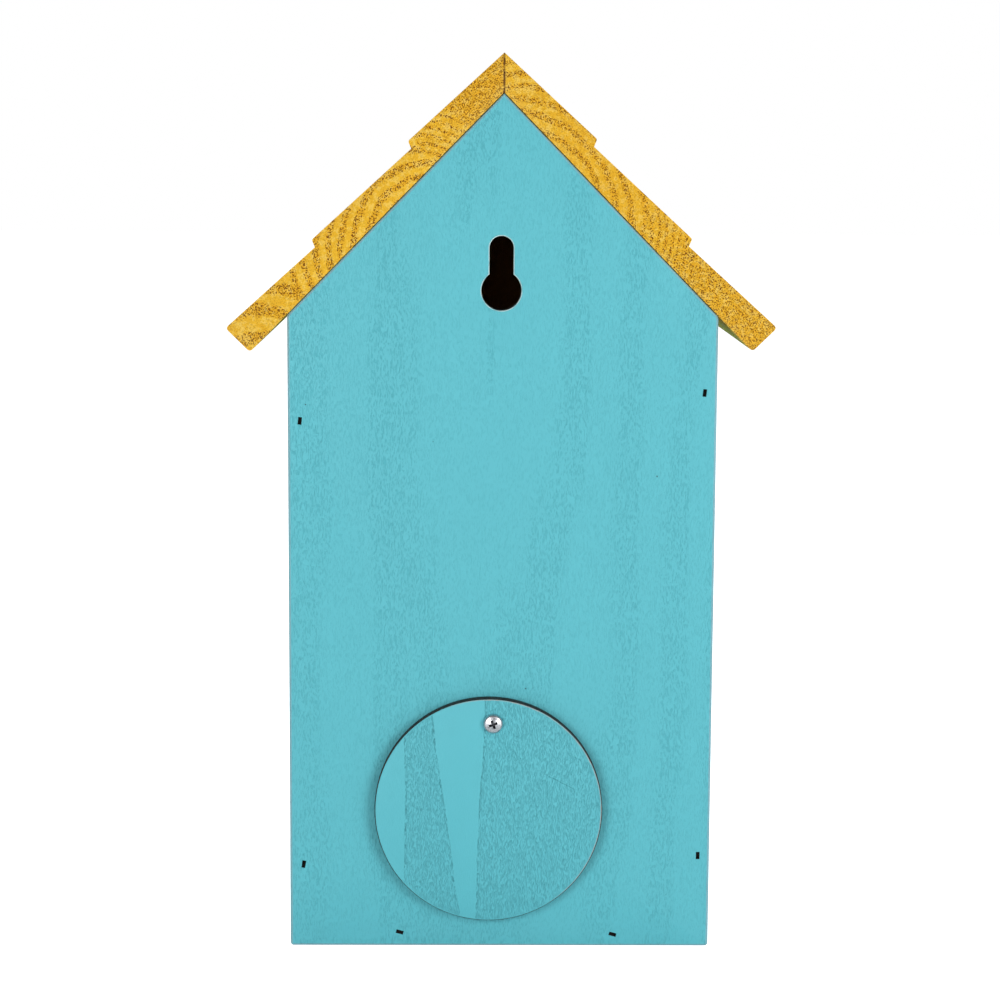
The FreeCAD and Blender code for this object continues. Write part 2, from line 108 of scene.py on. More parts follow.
def activate(piece: Piece) -> None:
    """Select one piece alone and make it the active one.

    Args:
        piece: the piece to work on.
    """
    bpy.ops.object.select_all(action="DESELECT")
    piece.select_set(True)
    bpy.context.view_layer.objects.active = piece


def middle_and_way(part: bmesh.types.BMVert | bmesh.types.BMEdge | bmesh.types.BMFace) -> tuple[Vector, Vector]:
    """Find where an element is and which way it looks or runs.

    Args:
        part: a point, edge or face.

    Returns:
        Its middle, and its direction if it is an edge, or else its normal.
    """
    if isinstance(part, bmesh.types.BMEdge):
        start, end = (point.co for point in part.verts)
        return (start + end) / 2, (end - start).normalized()
    if isinstance(part, bmesh.types.BMFace):
        return part.calc_center_median(), part.normal
    return part.co, part.normal


@contextmanager
def editing(piece: Piece, element: Element = Element.FACE, test: Test | None = None) -> Iterator[None]:
    """Open a piece in edit mode with some of it selected.

    Args:
        piece: the mesh to edit.
        element: the kind of element to select.
        test: which of them to select. Without one, all are.
    """
    operator_name, mesh_name = element.value
    activate(piece)
    bpy.ops.object.mode_set(mode="EDIT")
    bpy.ops.mesh.select_mode(type=operator_name)
    bpy.ops.mesh.select_all(action="DESELECT" if test else "SELECT")
    if test:
        mesh = bmesh.from_edit_mesh(piece.data)
        for part in getattr(mesh, mesh_name):
            part.select_set(test(*middle_and_way(part)))
        mesh.select_flush_mode()
        bmesh.update_edit_mesh(piece.data)
    try:
        yield
    finally:
        bpy.ops.object.mode_set(mode="OBJECT")


def at_depth(depth: float) -> Test:
    """Test for what lies in the plane at one Y."""
    return lambda place, way: abs(place.y - depth) < TOUCH


def settle(piece: Piece) -> None:
    """Move the object's place, turn and scale into its mesh."""
    activate(piece)
    bpy.ops.object.transform_apply(location=True, rotation=True, scale=True)


def add_block(name: str, low: Vector, high: Vector) -> Piece:
    """Add a rectangular blank between two corners.

    Args:
        name: the piece's name.
        low: the corner with the lowest coordinates.
        high: the opposite corner.

    Returns:
        The blank, its place in its mesh.
    """
    bpy.ops.object.select_all(action="DESELECT")
    bpy.ops.mesh.primitive_cube_add(size=1.0, location=(low + high) / 2)
    piece = bpy.context.active_object
    piece.name = name
    piece.scale = high - low
    settle(piece)
    return piece


def add_rod(name: str, radius: float, start: Vector, end: Vector, sides: int = 96) -> Piece:
    """Add a round blank between the centres of its two ends.

    Args:
        name: the piece's name.
        radius: its radius.
        start: centre of one end.
        end: centre of the other end.
        sides: how many flats stand for the round.

    Returns:
        The blank, its place in its mesh.
    """
    run = end - start
    bpy.ops.object.select_all(action="DESELECT")
    bpy.ops.mesh.primitive_cylinder_add(
        vertices=sides, radius=radius, depth=run.length, end_fill_type="NGON",
        location=(start + end) / 2, rotation=run.to_track_quat("Z", "Y").to_euler())
    piece = bpy.context.active_object
    piece.name = name
    settle(piece)
    return piece


def slice_off(piece: Piece, point: Vector, outward: Vector) -> None:
    """Saw a piece along a plane, drop the part outside it and close the cut."""
    with editing(piece):
        bpy.ops.mesh.bisect(plane_co=point, plane_no=outward, use_fill=True, clear_outer=True)


def score(piece: Piece, point: Vector, normal: Vector) -> None:
    """Cut a loop of edges round a piece where a plane crosses it."""
    with editing(piece):
        bpy.ops.mesh.bisect(plane_co=point, plane_no=normal)


def ease_edges(piece: Piece, test: Test, radius: float, segments: int = 3) -> None:
    """Round the edges that pass a test."""
    with editing(piece, Element.EDGE, test):
        bpy.ops.mesh.bevel(offset=radius, offset_type="OFFSET", segments=segments, profile=0.5,
                           affect="EDGES", clamp_overlap=True)


def flare_end(piece: Piece, centre: Vector, outward: Vector, radius: float, flare: float) -> None:
    """Widen one end of a round cutter, so that the hole that it makes has an eased mouth.

    Args:
        piece: the cutter.
        centre: centre of the cutter's end.
        outward: direction out of that end.
        radius: the cutter's radius.
        flare: how much the mouth widens, over the same depth.
    """
    growth = (radius + flare) / radius
    with editing(piece, Element.FACE, lambda place, normal: normal.dot(outward) > 0.99):
        bpy.ops.mesh.extrude_region_move(TRANSFORM_OT_translate={"value": outward * flare})
        bpy.ops.transform.resize(value=[1.0 if abs(part) > 0.5 else growth for part in outward],
                                 center_override=centre + outward * flare)
        bpy.ops.mesh.extrude_region_move(TRANSFORM_OT_translate={"value": outward * MM})


def carve(piece: Piece, cutter: Piece) -> None:
    """Take a cutter's shape out of a piece, and throw the cutter away.

    Args:
        piece: what is cut.
        cutter: the shape to take out.
    """
    activate(piece)
    cut = piece.modifiers.new("cut", "BOOLEAN")
    cut.operation = "DIFFERENCE"
    cut.solver = "EXACT"
    cut.object = cutter
    bpy.ops.object.modifier_apply(modifier=cut.name)
    bpy.data.objects.remove(cutter, do_unlink=True)


def drill(piece: Piece, start: Vector, end: Vector, radius: float, flare: float, stretch: float = 0.0) -> None:
    """Drill a round hole right through a board, its two mouths eased.

    Args:
        piece: the board.
        start: centre of the hole on one face.
        end: centre of the hole on the other face.
        radius: the hole's radius.
        flare: how much each mouth is eased.
        stretch: how far the upper half is moved up, which makes a slot with round ends.
    """
    inward = (end - start).normalized()
    ends = (start + inward * flare, -inward), (end - inward * flare, inward)
    cutter = add_rod("cutter", radius, ends[0][0], ends[1][0])
    for centre, outward in ends:
        flare_end(cutter, centre, outward, radius, flare)
    if stretch:
        with editing(cutter, Element.POINT, lambda place, normal: place.z > start.z - TOUCH / 10):
            bpy.ops.transform.translate(value=(0.0, 0.0, stretch))
    carve(piece, cutter)


def finish_mesh(piece: Piece, angle: float = 32.0) -> None:
    """Merge doubles, point the faces outwards and shade by angle.

    Args:
        piece: the shaped piece.
        angle: the sharpest turn, in degrees, that is still shaded smooth.
    """
    with editing(piece):
        bpy.ops.mesh.remove_doubles(threshold=0.002 * MM)
        bpy.ops.mesh.normals_make_consistent(inside=False)
    bpy.ops.object.shade_smooth_by_angle(angle=math.radians(angle))


def dress(piece: Piece, coats: list[tuple[Material, Test | None]]) -> None:
    """Give a piece its finishes, face by face.

    Args:
        piece: the piece.
        coats: a material and the test of the faces that take it. The first covers the rest.
    """
    piece.data.materials.clear()
    for material, _ in coats:
        piece.data.materials.append(material)
    for face in piece.data.polygons:
        for index, (_, test) in enumerate(coats):
            if test is not None and test(face.center, face.normal):
                face.material_index = index


def mount(piece: Piece, body: str, slot: str, *nodes: str) -> None:
    """Put a finished piece on its body in place of CAD nodes.

    Args:
        piece: the finished piece.
        body: the CAD body that it moves with.
        slot: the record's material slot for its finish. Not used.
        nodes: the CAD nodes that it stands for.
    """
    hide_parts(*nodes)
    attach(piece, body)
    log.info("%s: %d faces", piece.name, len(piece.data.polygons))


# ---- shader sheets ---------------------------------------------------------------------------------------


class Sheet:
    """Short ways to place and join shader nodes in one tree. A value may be a number, a colour or a socket."""

    def __init__(self, tree: bpy.types.NodeTree) -> None:
        """Start on an empty tree."""
        self.tree = tree
        self.tree.nodes.clear()

    def feed(self, socket: Socket, value: object) -> None:
        """Join a socket to another, or set its value.

        Args:
            socket: the input.
            value: a socket, a number, a vector, or a colour without its alpha.
        """
        if isinstance(value, bpy.types.NodeSocket):
            self.tree.links.new(value, socket)
        else:
            socket.default_value = (*value, 1.0) if socket.type == "RGBA" else value

    def add(self, kind: str, inputs: dict[int | str, object] | None = None, **settings: object) -> Node:
        """Place a node.

        Args:
            kind: the kind of node.
            inputs: what to join or set each input to, by its number or name.
            settings: the node's own properties, which are set first.

        Returns:
            The node.
        """
        node = self.tree.nodes.new(kind)
        for name, value in settings.items():
            setattr(node, name, value)
        for key, value in (inputs or {}).items():
            self.feed(node.inputs[key], value)
        return node

    def coordinate(self, kind: str = "Object") -> Socket:
        """The place on the piece, or another of its texture coordinates."""
        return self.add("ShaderNodeTexCoord").outputs[kind]

    def math(self, operation: str, *values: object, clamp: bool = False) -> Socket:
        """The result of one Math node."""
        inputs = dict(enumerate(values))
        return self.add("ShaderNodeMath", inputs, operation=operation, use_clamp=clamp).outputs[0]

    def times(self, first: object, second: object) -> Socket:
        """The product of two values."""
        return self.math("MULTIPLY", first, second)

    def vector(self, operation: str, *values: object, output: int = 0) -> Socket:
        """One output of one Vector Math node."""
        return self.add("ShaderNodeVectorMath", dict(enumerate(values)), operation=operation).outputs[output]

    def split(self, vector: Socket) -> list[Socket]:
        """The X, Y and Z of a vector."""
        return list(self.add("ShaderNodeSeparateXYZ", {0: vector}).outputs)

    def join(self, *parts: object) -> Socket:
        """A vector from its X, Y and Z."""
        return self.add("ShaderNodeCombineXYZ", dict(enumerate(parts))).outputs[0]

    def moved(self, kind: str, vector: Socket, **values: Triple) -> Socket:
        """A vector through a Mapping node of a kind, with its Location or Rotation."""
        return self.add("ShaderNodeMapping", {"Vector": vector, **values}, vector_type=kind).outputs[0]

    def remap(self, value: Socket, low: float, high: float, to_low: float = 0.0,
              to_high: float = 1.0) -> Socket:
        """A smooth step from one range to another."""
        inputs = dict(enumerate((value, low, high, to_low, to_high)))
        return self.add("ShaderNodeMapRange", inputs, interpolation_type="SMOOTHSTEP").outputs[0]

    def noise(self, vector: Socket, scale: float | Triple, detail: float = 2.0,
              roughness: float = 0.5) -> Socket:
        """Noise from 0 to 1 over a vector.

        Args:
            vector: the place.
            scale: how many patches there are to a unit, alike or along X, Y and Z.
            detail: how many finer layers are added.
            roughness: how strong each finer layer is.

        Returns:
            The noise's value; its node also has a colour.
        """
        if isinstance(scale, tuple):
            vector, scale = self.vector("MULTIPLY", vector, scale), 1.0
        inputs = {"Vector": vector, "Scale": scale, "Detail": detail, "Roughness": roughness}
        return self.add("ShaderNodeTexNoise", inputs, normalize=True).outputs[0]

    def mix(self, share: object, first: object, second: object) -> Socket:
        """A mix of two colours."""
        return self.add("ShaderNodeMix", {0: share, 6: first, 7: second}, data_type="RGBA").outputs[2]

    def place_group(self, group: bpy.types.NodeTree, **values: object) -> Node:
        """Place a node group with its inputs joined or set, spaces in names as underscores."""
        inputs = {name.replace("_", " "): value for name, value in values.items()}
        return self.add("ShaderNodeGroup", inputs, node_tree=group)


def new_group(name: str, inputs: dict[str, float | None], outputs: list[str]) -> tuple[Sheet, Node, Node]:
    """Start a shader node group.

    Args:
        name: the group's name.
        inputs: each input with its default, or None for a vector.
        outputs: the names of its float outputs.

    Returns:
        The group's sheet, its input node and its output node.
    """
    tree = bpy.data.node_groups.new(name, "ShaderNodeTree")
    for label, default in inputs.items():
        kind = "NodeSocketVector" if default is None else "NodeSocketFloat"
        socket = tree.interface.new_socket(name=label, in_out="INPUT", socket_type=kind)
        if default is not None:
            socket.default_value = default
    for label in outputs:
        tree.interface.new_socket(name=label, in_out="OUTPUT", socket_type="NodeSocketFloat")
    sheet = Sheet(tree)
    return sheet, sheet.add("NodeGroupInput"), sheet.add("NodeGroupOutput")


def build_wood_figure() -> bpy.types.NodeTree:
    """Growth rings and pores of a log whose heart is the Z axis of the vector that comes in.

    Returns:
        A group that puts out Late, the dark part of each ring, Pores, the fine dashes along the grain, which
        are dots on an end, and Drift, slow change from place to place.
    """
    sheet, come, go = new_group(
        "wood_figure", {"Log": None, "Ring Width": 4 * MM, "Wander": 3 * MM, "Fibre": 0.5 * MM, "Dash": 9.0},
        ["Late", "Pores", "Drift"])
    log_place, width, wander, fibre, dash = list(come.outputs)[:5]
    slow_scale, uneven_scale, pore_span = (26.0, 26.0, 7.0), (150.0, 150.0, 12.0), (0.5, 0.64)
    dark_begins, dark_ends = (0.38, 0.6), (0.9, 1.0)
    slow = sheet.noise(log_place, slow_scale)
    centred = sheet.vector("SUBTRACT", slow.node.outputs["Color"], (0.5, 0.5, 0.5))
    sway = sheet.add("ShaderNodeVectorMath", {0: centred, "Scale": sheet.times(wander, 4.0)}, operation="SCALE")
    bent = sheet.vector("MULTIPLY", sheet.vector("ADD", log_place, sway.outputs[0]), (1.0, 1.0, 0.0))
    rings = sheet.math("DIVIDE", sheet.vector("LENGTH", bent, output=1), width)
    uneven = sheet.noise(log_place, uneven_scale, 3.0)
    ring_place = sheet.math("FRACT", sheet.math("ADD", rings, sheet.times(uneven, 0.7)))
    rise = sheet.remap(ring_place, *dark_begins)
    fall = sheet.remap(ring_place, *dark_ends, 1.0, 0.0)
    dashes = sheet.vector("DIVIDE", log_place, sheet.join(fibre, fibre, sheet.times(fibre, dash)))
    sheet.feed(go.inputs["Late"], sheet.times(rise, fall))
    sheet.feed(go.inputs["Pores"], sheet.remap(sheet.noise(dashes, 1.0, 2.0, 0.6), *pore_span))
    sheet.feed(go.inputs["Drift"], slow)
    return sheet.tree


def build_eased_edge() -> bpy.types.NodeTree:
    """Mask of the eased edges of a square-cut board.

    Returns:
        A group that puts out Edge: 0 on the board's flat faces and 1 on the rounded edges between them. Tilt is
        the board's turn about Y, in radians.
    """
    sheet, come, go = new_group("eased_edge", {"Normal": None, "Tilt": 0.0}, ["Edge"])
    inputs = {"Vector": come.outputs["Normal"], "Angle": sheet.times(come.outputs["Tilt"], -1.0)}
    turned = sheet.add("ShaderNodeVectorRotate", inputs, rotation_type="Y_AXIS").outputs[0]
    x, y, z = sheet.split(sheet.vector("ABSOLUTE", turned))
    squareness = sheet.math("MAXIMUM", sheet.math("MAXIMUM", x, y), z)
    sheet.feed(go.inputs["Edge"], sheet.remap(squareness, 0.93, 0.995, 1.0, 0.0))
    return sheet.tree


def build_specks() -> bpy.types.NodeTree:
    """Small scattered pits.

    Returns:
        A group that puts out Pit, 1 inside each pit. Spacing is the distance between places that may hold one,
        Size is the pit's radius as a share of it, and Share is how many of the places do.
    """
    sheet, come, go = new_group("specks", {"Vector": None, "Spacing": 12 * MM, "Size": 0.03, "Share": 0.4},
                                ["Pit"])
    scale = sheet.math("DIVIDE", 1.0, come.outputs["Spacing"])
    cells = sheet.add("ShaderNodeTexVoronoi", {"Vector": come.outputs["Vector"], "Scale": scale}, feature="F1")
    chosen = sheet.math("LESS_THAN", sheet.split(cells.outputs["Color"])[0], come.outputs["Share"])
    inside = sheet.math("LESS_THAN", cells.outputs["Distance"], come.outputs["Size"])
    sheet.feed(go.inputs["Pit"], sheet.times(inside, chosen))
    return sheet.tree


@dataclass(frozen=True)
class Effects:
    """The shader node groups that more than one finish uses."""

    wood: bpy.types.NodeTree
    edge: bpy.types.NodeTree
    specks: bpy.types.NodeTree


# ---- how boards lie in their logs ------------------------------------------------------------------------


@dataclass(frozen=True)
class Figure:
    """What a board's wood shows: the dark part of each ring, the pores, and slow change from place to place."""

    late: Socket
    pores: Socket
    drift: Socket


@dataclass(frozen=True)
class Log:
    """How a board lies in the log that it was sawn from."""

    grain: Grain
    heart: Triple = (0.0, 0.0, 0.0)
    lean: Triple = (0.0, 0.0, 0.0)
    ring_width: float = 4 * MM
    wander: float = 3 * MM
    fibre: float = 0.45 * MM
    dash: float = 9.0

    def show(self, sheet: Sheet, effects: Effects, log_place: Socket, ring_width: object) -> Figure:
        """Place the wood's figure.

        Args:
            sheet: the material's sheet.
            effects: the shared node groups.
            log_place: the place on the piece, with the heart of the log as its Z axis.
            ring_width: the space from ring to ring.

        Returns:
            The figure's masks.
        """
        node = sheet.place_group(effects.wood, Log=log_place, Ring_Width=ring_width, Wander=self.wander,
                                 Fibre=self.fibre, Dash=self.dash)
        return Figure(*(node.outputs[key] for key in ("Late", "Pores", "Drift")))

    def figure(self, sheet: Sheet, effects: Effects) -> Figure:
        """Place the figure of a board from one log.

        Args:
            sheet: the material's sheet.
            effects: the shared node groups.

        Returns:
            The figure's masks.
        """
        offset = sheet.moved("POINT", sheet.coordinate(), Location=tuple(-part for part in self.heart))
        turn = tuple(a + b for a, b in zip(self.grain.value, self.lean))
        return self.show(sheet, effects, sheet.moved("POINT", offset, Rotation=turn), self.ring_width)


@dataclass(frozen=True)
class Stave:
    """One strip of an edge-glued board.

    Its heart is given in the board's section: down the slope from the ridge, and above the underside. Evenness
    is how much of the space between its rings is as full of pores as the rings are.
    """

    start: float
    heart_down: float
    heart_up: float
    ring_width: float
    evenness: float


@dataclass(frozen=True)
class GluedBoard(Log):
    """A sloping board glued up from staves whose grain runs fore and aft."""

    grain: Grain = Grain.FORE_AND_AFT
    wander: float = 1.6 * MM
    fibre: float = 0.4 * MM
    dash: float = 16.0
    ridge: Triple = (0.0, 0.0, 0.0)
    tilt: float = 0.0
    downhill: float = 1.0
    staves: tuple[Stave, ...] = ()

    def figure(self, sheet: Sheet, effects: Effects) -> Figure:
        """Place the figure of every stave.

        Args:
            sheet: the material's sheet.
            effects: the shared node groups.

        Returns:
            The figure's masks.
        """
        level = sheet.moved("TEXTURE", sheet.coordinate(), Location=self.ridge, Rotation=(0.0, self.tilt, 0.0))
        across, along, up = sheet.split(level)
        down = sheet.times(across, self.downhill)
        heart_down, heart_up, ring_width, evenness = (
            self.by_stave(sheet, down, key) for key in ("heart_down", "heart_up", "ring_width", "evenness"))
        log_place = sheet.join(sheet.math("SUBTRACT", down, heart_down), sheet.math("SUBTRACT", up, heart_up),
                               along)
        plain = self.show(sheet, effects, log_place, ring_width)
        return Figure(sheet.math("MAXIMUM", plain.late, evenness), plain.pores, plain.drift)

    def by_stave(self, sheet: Sheet, down: Socket, key: str) -> Socket:
        """Step a value from stave to stave.

        Args:
            sheet: the material's sheet.
            down: how far down the slope a place is.
            key: the name of the stave's value.

        Returns:
            The value of the stave at that place.
        """
        values = [getattr(stave, key) for stave in self.staves]
        total = values[0]
        for stave, value, before in zip(self.staves[1:], values[1:], values):
            step = sheet.math("GREATER_THAN", down, stave.start)
            total = sheet.math("MULTIPLY_ADD", step, value - before, total)
        return total


# ---- finishes --------------------------------------------------------------------------------------------


def start_material(name: str) -> tuple[Material, Sheet, Node]:
    """Start a material with a Principled shader on its output.

    Args:
        name: the material's name.

    Returns:
        The material, its sheet and its shader.
    """
    material = bpy.data.materials.new(name)
    material.use_nodes = True
    sheet = Sheet(material.node_tree)
    shader = sheet.add("ShaderNodeBsdfPrincipled")
    sheet.add("ShaderNodeOutputMaterial", {"Surface": shader.outputs[0]})
    return material, sheet, shader


def coat(sheet: Sheet, shader: Node, colour: Socket, roughness: object, height: Socket, depth: float) -> None:
    """Join a finish to its shader.

    Args:
        sheet: the material's sheet.
        shader: its Principled shader.
        colour: the colour.
        roughness: the roughness.
        height: the relief, from 0 to 1.
        depth: how deep that relief is.
    """
    bump = sheet.add("ShaderNodeBump", {"Strength": 1.0, "Distance": depth, "Height": height})
    sheet.feed(shader.inputs["Base Color"], colour)
    sheet.feed(shader.inputs["Roughness"], roughness)
    sheet.feed(shader.inputs["Normal"], bump.outputs[0])


@dataclass(frozen=True)
class Streak:
    """An upright streak of dashes on a face that lies in XZ.

    Middle and half are where it lies and half its width at a height, spread how much that half grows downwards,
    and lean how much the middle moves sideways with height. Waver is how far its outline wanders.
    """

    middle: float
    half: float
    height: float
    spread: float
    lean: float
    waver: float = 3.5 * MM

    def mask(self, sheet: Sheet, place: Socket) -> Socket:
        """Draw the streak.

        Args:
            sheet: the material's sheet.
            place: the place on the piece.

        Returns:
            A mask with a sharp wavering outline that is darkest at its rim.
        """
        sway = sheet.noise(place, (60.0, 60.0, 22.0), 3.0)
        x, _, z = sheet.split(place)
        above = sheet.math("SUBTRACT", z, self.height)
        centre = sheet.math("MULTIPLY_ADD", above, self.lean, self.middle)
        side = sheet.math("ABSOLUTE", sheet.math("SUBTRACT", x, centre))
        side = sheet.math("ADD", side, sheet.times(sway, self.waver))
        reach = sheet.math("MULTIPLY_ADD", above, -self.spread, self.half + self.waver / 2)
        depth = sheet.math("SUBTRACT", reach, side)
        body = sheet.remap(depth, 0.0, 0.4 * MM, 0.0, 0.72)
        rim = sheet.times(sheet.remap(depth, 0.0, 0.2 * MM), sheet.remap(depth, 0.3 * MM, 0.9 * MM, 0.8, 0.0))
        return sheet.math("ADD", body, rim)


@dataclass(frozen=True)
class Scratch:
    """A short straight scratch on a face that lies in XZ."""

    middle: Triple
    slope: float
    length: float
    width: float

    def mask(self, sheet: Sheet, place: Socket) -> Socket:
        """Draw the scratch.

        Args:
            sheet: the material's sheet.
            place: the place on the piece.

        Returns:
            A mask that is 1 in the scratch's middle.
        """
        local = sheet.moved("TEXTURE", place, Location=self.middle, Rotation=(0.0, self.slope, 0.0))
        along, _, across = sheet.split(sheet.vector("ABSOLUTE", local))
        ends = sheet.remap(along, self.length * 0.3, self.length * 0.5, 1.0, 0.0)
        return sheet.times(ends, sheet.remap(across, self.width * 0.3, self.width, 1.0, 0.0))


@dataclass(frozen=True)
class TurquoisePaint:
    """Thin satin paint over sanded wood: the grain shows through as faint short dashes in broad bands.

    A share is how much of the darker colour, the pale edge colour or the pit colour a feature takes, and plain
    is how strong the dashes are outside the bands. The pale edge colour is partly rubbed paint and partly a
    painted highlight; the pit colour is painted shade in the pits.
    """

    paint: Colour = (0.094, 0.475, 0.550)
    shade: Colour = (0.045, 0.290, 0.350)
    # Pale colour of the eased edges: rubbed paint with a painted highlight.
    rubbed_and_highlight: Colour = (0.290, 0.400, 0.460)
    # Painted shade: the paint darkened, put in the pits.
    pit: Colour = (0.0135, 0.087, 0.105)
    roughness: float = 0.55
    dash_share: float = 0.286
    drift_share: float = 0.044
    edge_share: float = 0.55
    pit_share: float = 0.8
    scratch_share: float = 0.35
    pit_spacing: float = 9 * MM
    plain: float = 0.6
    relief: float = 0.06 * MM

    def make(self, name: str, board: Log, effects: Effects, streaks: tuple[Streak, ...] = (),
             scratch: Scratch | None = None) -> Material:
        """Mix the paint for one board.

        Args:
            name: the material's name.
            board: how the board's grain lies.
            effects: the shared node groups.
            streaks: where the dashes lie, in place of the log's own rings.
            scratch: a scratch in the paint, if the board has one.

        Returns:
            The material.
        """
        material, sheet, shader = start_material(name)
        figure = board.figure(sheet, effects)
        place = sheet.coordinate()
        bands = figure.late
        for index, streak in enumerate(streaks):
            mask = streak.mask(sheet, place)
            bands = sheet.math("MAXIMUM", bands, mask) if index else mask
        dashes = sheet.times(figure.pores, sheet.math("MULTIPLY_ADD", bands, 1.0 - self.plain, self.plain))
        edge = sheet.place_group(effects.edge, Normal=sheet.coordinate("Normal")).outputs[0]
        pits = sheet.place_group(effects.specks, Vector=place, Spacing=self.pit_spacing, Size=0.028,
                                 Share=0.22).outputs[0]
        tone = sheet.mix(sheet.times(dashes, self.dash_share), self.paint, self.shade)
        drift = sheet.remap(figure.drift, 0.3, 0.75)
        # The eased edges take rubbed paint with a painted highlight.
        for mask, share, colour in ((drift, self.drift_share, self.shade), (edge, self.edge_share, self.rubbed_and_highlight),
                                    # The pits take painted shade.
                                    (pits, self.pit_share, self.pit)):
            tone = sheet.mix(sheet.times(mask, share), tone, colour)
        height = sheet.times(dashes, -1.0)
        if scratch is not None:
            mark = scratch.mask(sheet, place)
            tone = sheet.mix(sheet.times(mark, self.scratch_share), tone, self.shade)
            height = sheet.math("SUBTRACT", height, mark)
        roughness = sheet.math("MULTIPLY_ADD", dashes, 0.2, self.roughness)
        coat(sheet, shader, tone, roughness, height, self.relief)
        return material


@dataclass(frozen=True)
class YellowStain:
    """Yellow stain on pine: clear golden bands between bands that are full of brown pores.

    Along share is how strong the pores are on faces along the grain, and even share how strong they are between
    the rings.
    """

    clear: Colour = (0.760, 0.450, 0.022)
    warm: Colour = (0.680, 0.330, 0.008)
    speck: Colour = (0.170, 0.045, 0.001)
    seam: Colour = (0.120, 0.042, 0.008)
    # Pale colour for random patches, and a painted highlight on the eased edges.
    pale_and_edge_highlight: Colour = (0.860, 0.660, 0.200)
    roughness: float = 0.62
    sheen: float = 0.2
    along_share: float = 0.45
    even_share: float = 0.18
    relief: float = 0.12 * MM
    seam_width: float = 0.28 * MM

    def make(self, name: str, board: Log, effects: Effects, tilt: float = 0.0) -> Material:
        """Stain one board.

        Args:
            name: the material's name.
            board: how the board's grain lies.
            effects: the shared node groups.
            tilt: the board's turn about Y, in radians.

        Returns:
            The material.
        """
        material, sheet, shader = start_material(name)
        figure = board.figure(sheet, effects)
        place, normal = sheet.coordinate(), sheet.coordinate("Normal")
        edge = sheet.place_group(effects.edge, Normal=normal, Tilt=tilt).outputs[0]
        mottle = sheet.noise(place, 700.0, 3.0, 0.65)
        warmth = sheet.math("MULTIPLY_ADD", sheet.remap(mottle, 0.4, 0.66), 0.45,
                            sheet.times(figure.late, 0.4), clamp=True)
        tone = sheet.mix(warmth, self.clear, self.warm)
        tone = sheet.mix(sheet.remap(mottle, 0.38, 0.52, 0.3, 0.0), tone, self.pale_and_edge_highlight)
        _, endways, _ = sheet.split(sheet.vector("ABSOLUTE", normal))
        rings = sheet.math("MULTIPLY_ADD", figure.late, 1.0 - self.even_share, self.even_share)
        dots = sheet.times(figure.pores, rings)
        dots = sheet.times(dots, sheet.remap(endways, 0.4, 0.9, self.along_share, 1.0))
        tone = sheet.mix(sheet.math("MULTIPLY", dots, 1.3, clamp=True), tone, self.speck)
        tone = sheet.mix(sheet.times(sheet.remap(figure.drift, 0.42, 0.7), 0.2), tone, self.warm)
        # Painted highlight: the eased edges are mixed towards the pale colour.
        tone = sheet.mix(sheet.times(edge, 0.45), tone, self.pale_and_edge_highlight)
        if isinstance(board, GluedBoard):
            tone = sheet.mix(self.ridge_seam(sheet, place), tone, self.seam)
        shader.inputs["Specular IOR Level"].default_value = self.sheen
        roughness = sheet.math("MULTIPLY_ADD", dots, 0.2, self.roughness)
        coat(sheet, shader, tone, roughness, sheet.times(dots, -1.0), self.relief)
        return material

    def ridge_seam(self, sheet: Sheet, place: Socket) -> Socket:
        """Draw the dark line that lies unevenly in the mitre along the ridge.

        Args:
            sheet: the material's sheet.
            place: the place on the piece.

        Returns:
            A mask of the dark line.
        """
        across, _, _ = sheet.split(sheet.vector("ABSOLUTE", place))
        near = sheet.remap(across, self.seam_width * 0.5, self.seam_width * 1.6, 1.0, 0.0)
        patches = sheet.noise(place, 520.0)
        return sheet.times(near, sheet.remap(patches, 0.35, 0.55, 0.2, 0.9))


@dataclass(frozen=True)
class BareWood:
    """Unpainted planed wood, as left on the inside."""

    light: Colour = (0.56, 0.40, 0.23)
    dark: Colour = (0.36, 0.22, 0.10)
    roughness: float = 0.7
    relief: float = 0.05 * MM

    def make(self, name: str, board: Log, effects: Effects) -> Material:
        """Plane the wood of one board.

        Args:
            name: the material's name.
            board: how the board's grain lies.
            effects: the shared node groups.

        Returns:
            The material.
        """
        material, sheet, shader = start_material(name)
        figure = board.figure(sheet, effects)
        tone = sheet.mix(sheet.times(figure.late, 0.6), self.light, self.dark)
        tone = sheet.mix(sheet.times(figure.pores, 0.35), tone, self.dark)
        coat(sheet, shader, tone, self.roughness, sheet.times(figure.pores, -1.0), self.relief)
        return material


@dataclass(frozen=True)
class Mottled:
    """A finish of two colours in small patches: char, rubbed paint with a painted highlight, or steel.

    Scale is how many patches there are to a metre, span the part of the noise over which the first colour turns
    into the second, and uneven how much rougher the second is.
    """

    first: Colour
    second: Colour
    scale: float | Triple
    span: tuple[float, float]
    roughness: float
    relief: float
    detail: float = 2.0
    grit: float = 0.5
    metallic: float = 0.0
    uneven: float = 0.0

    def make(self, name: str) -> Material:
        """Mix the finish.

        Args:
            name: the material's name.

        Returns:
            The material.
        """
        material, sheet, shader = start_material(name)
        patches = sheet.noise(sheet.coordinate(), self.scale, self.detail, self.grit)
        tone = sheet.mix(sheet.remap(patches, *self.span), self.first, self.second)
        shader.inputs["Metallic"].default_value = self.metallic
        roughness = self.roughness
        if self.uneven:
            roughness = sheet.math("MULTIPLY_ADD", patches, self.uneven, self.roughness)
        coat(sheet, shader, tone, roughness, patches, self.relief)
        return material


def steel(bright: Colour, tarnish: Colour, roughness: float) -> Mottled:
    """Plated or dulled steel with fine tool marks."""
    return Mottled(bright, tarnish, 1800.0, (0.45, 0.75), roughness, 0.02 * MM, 3.0, 0.6, 1.0, 0.2)


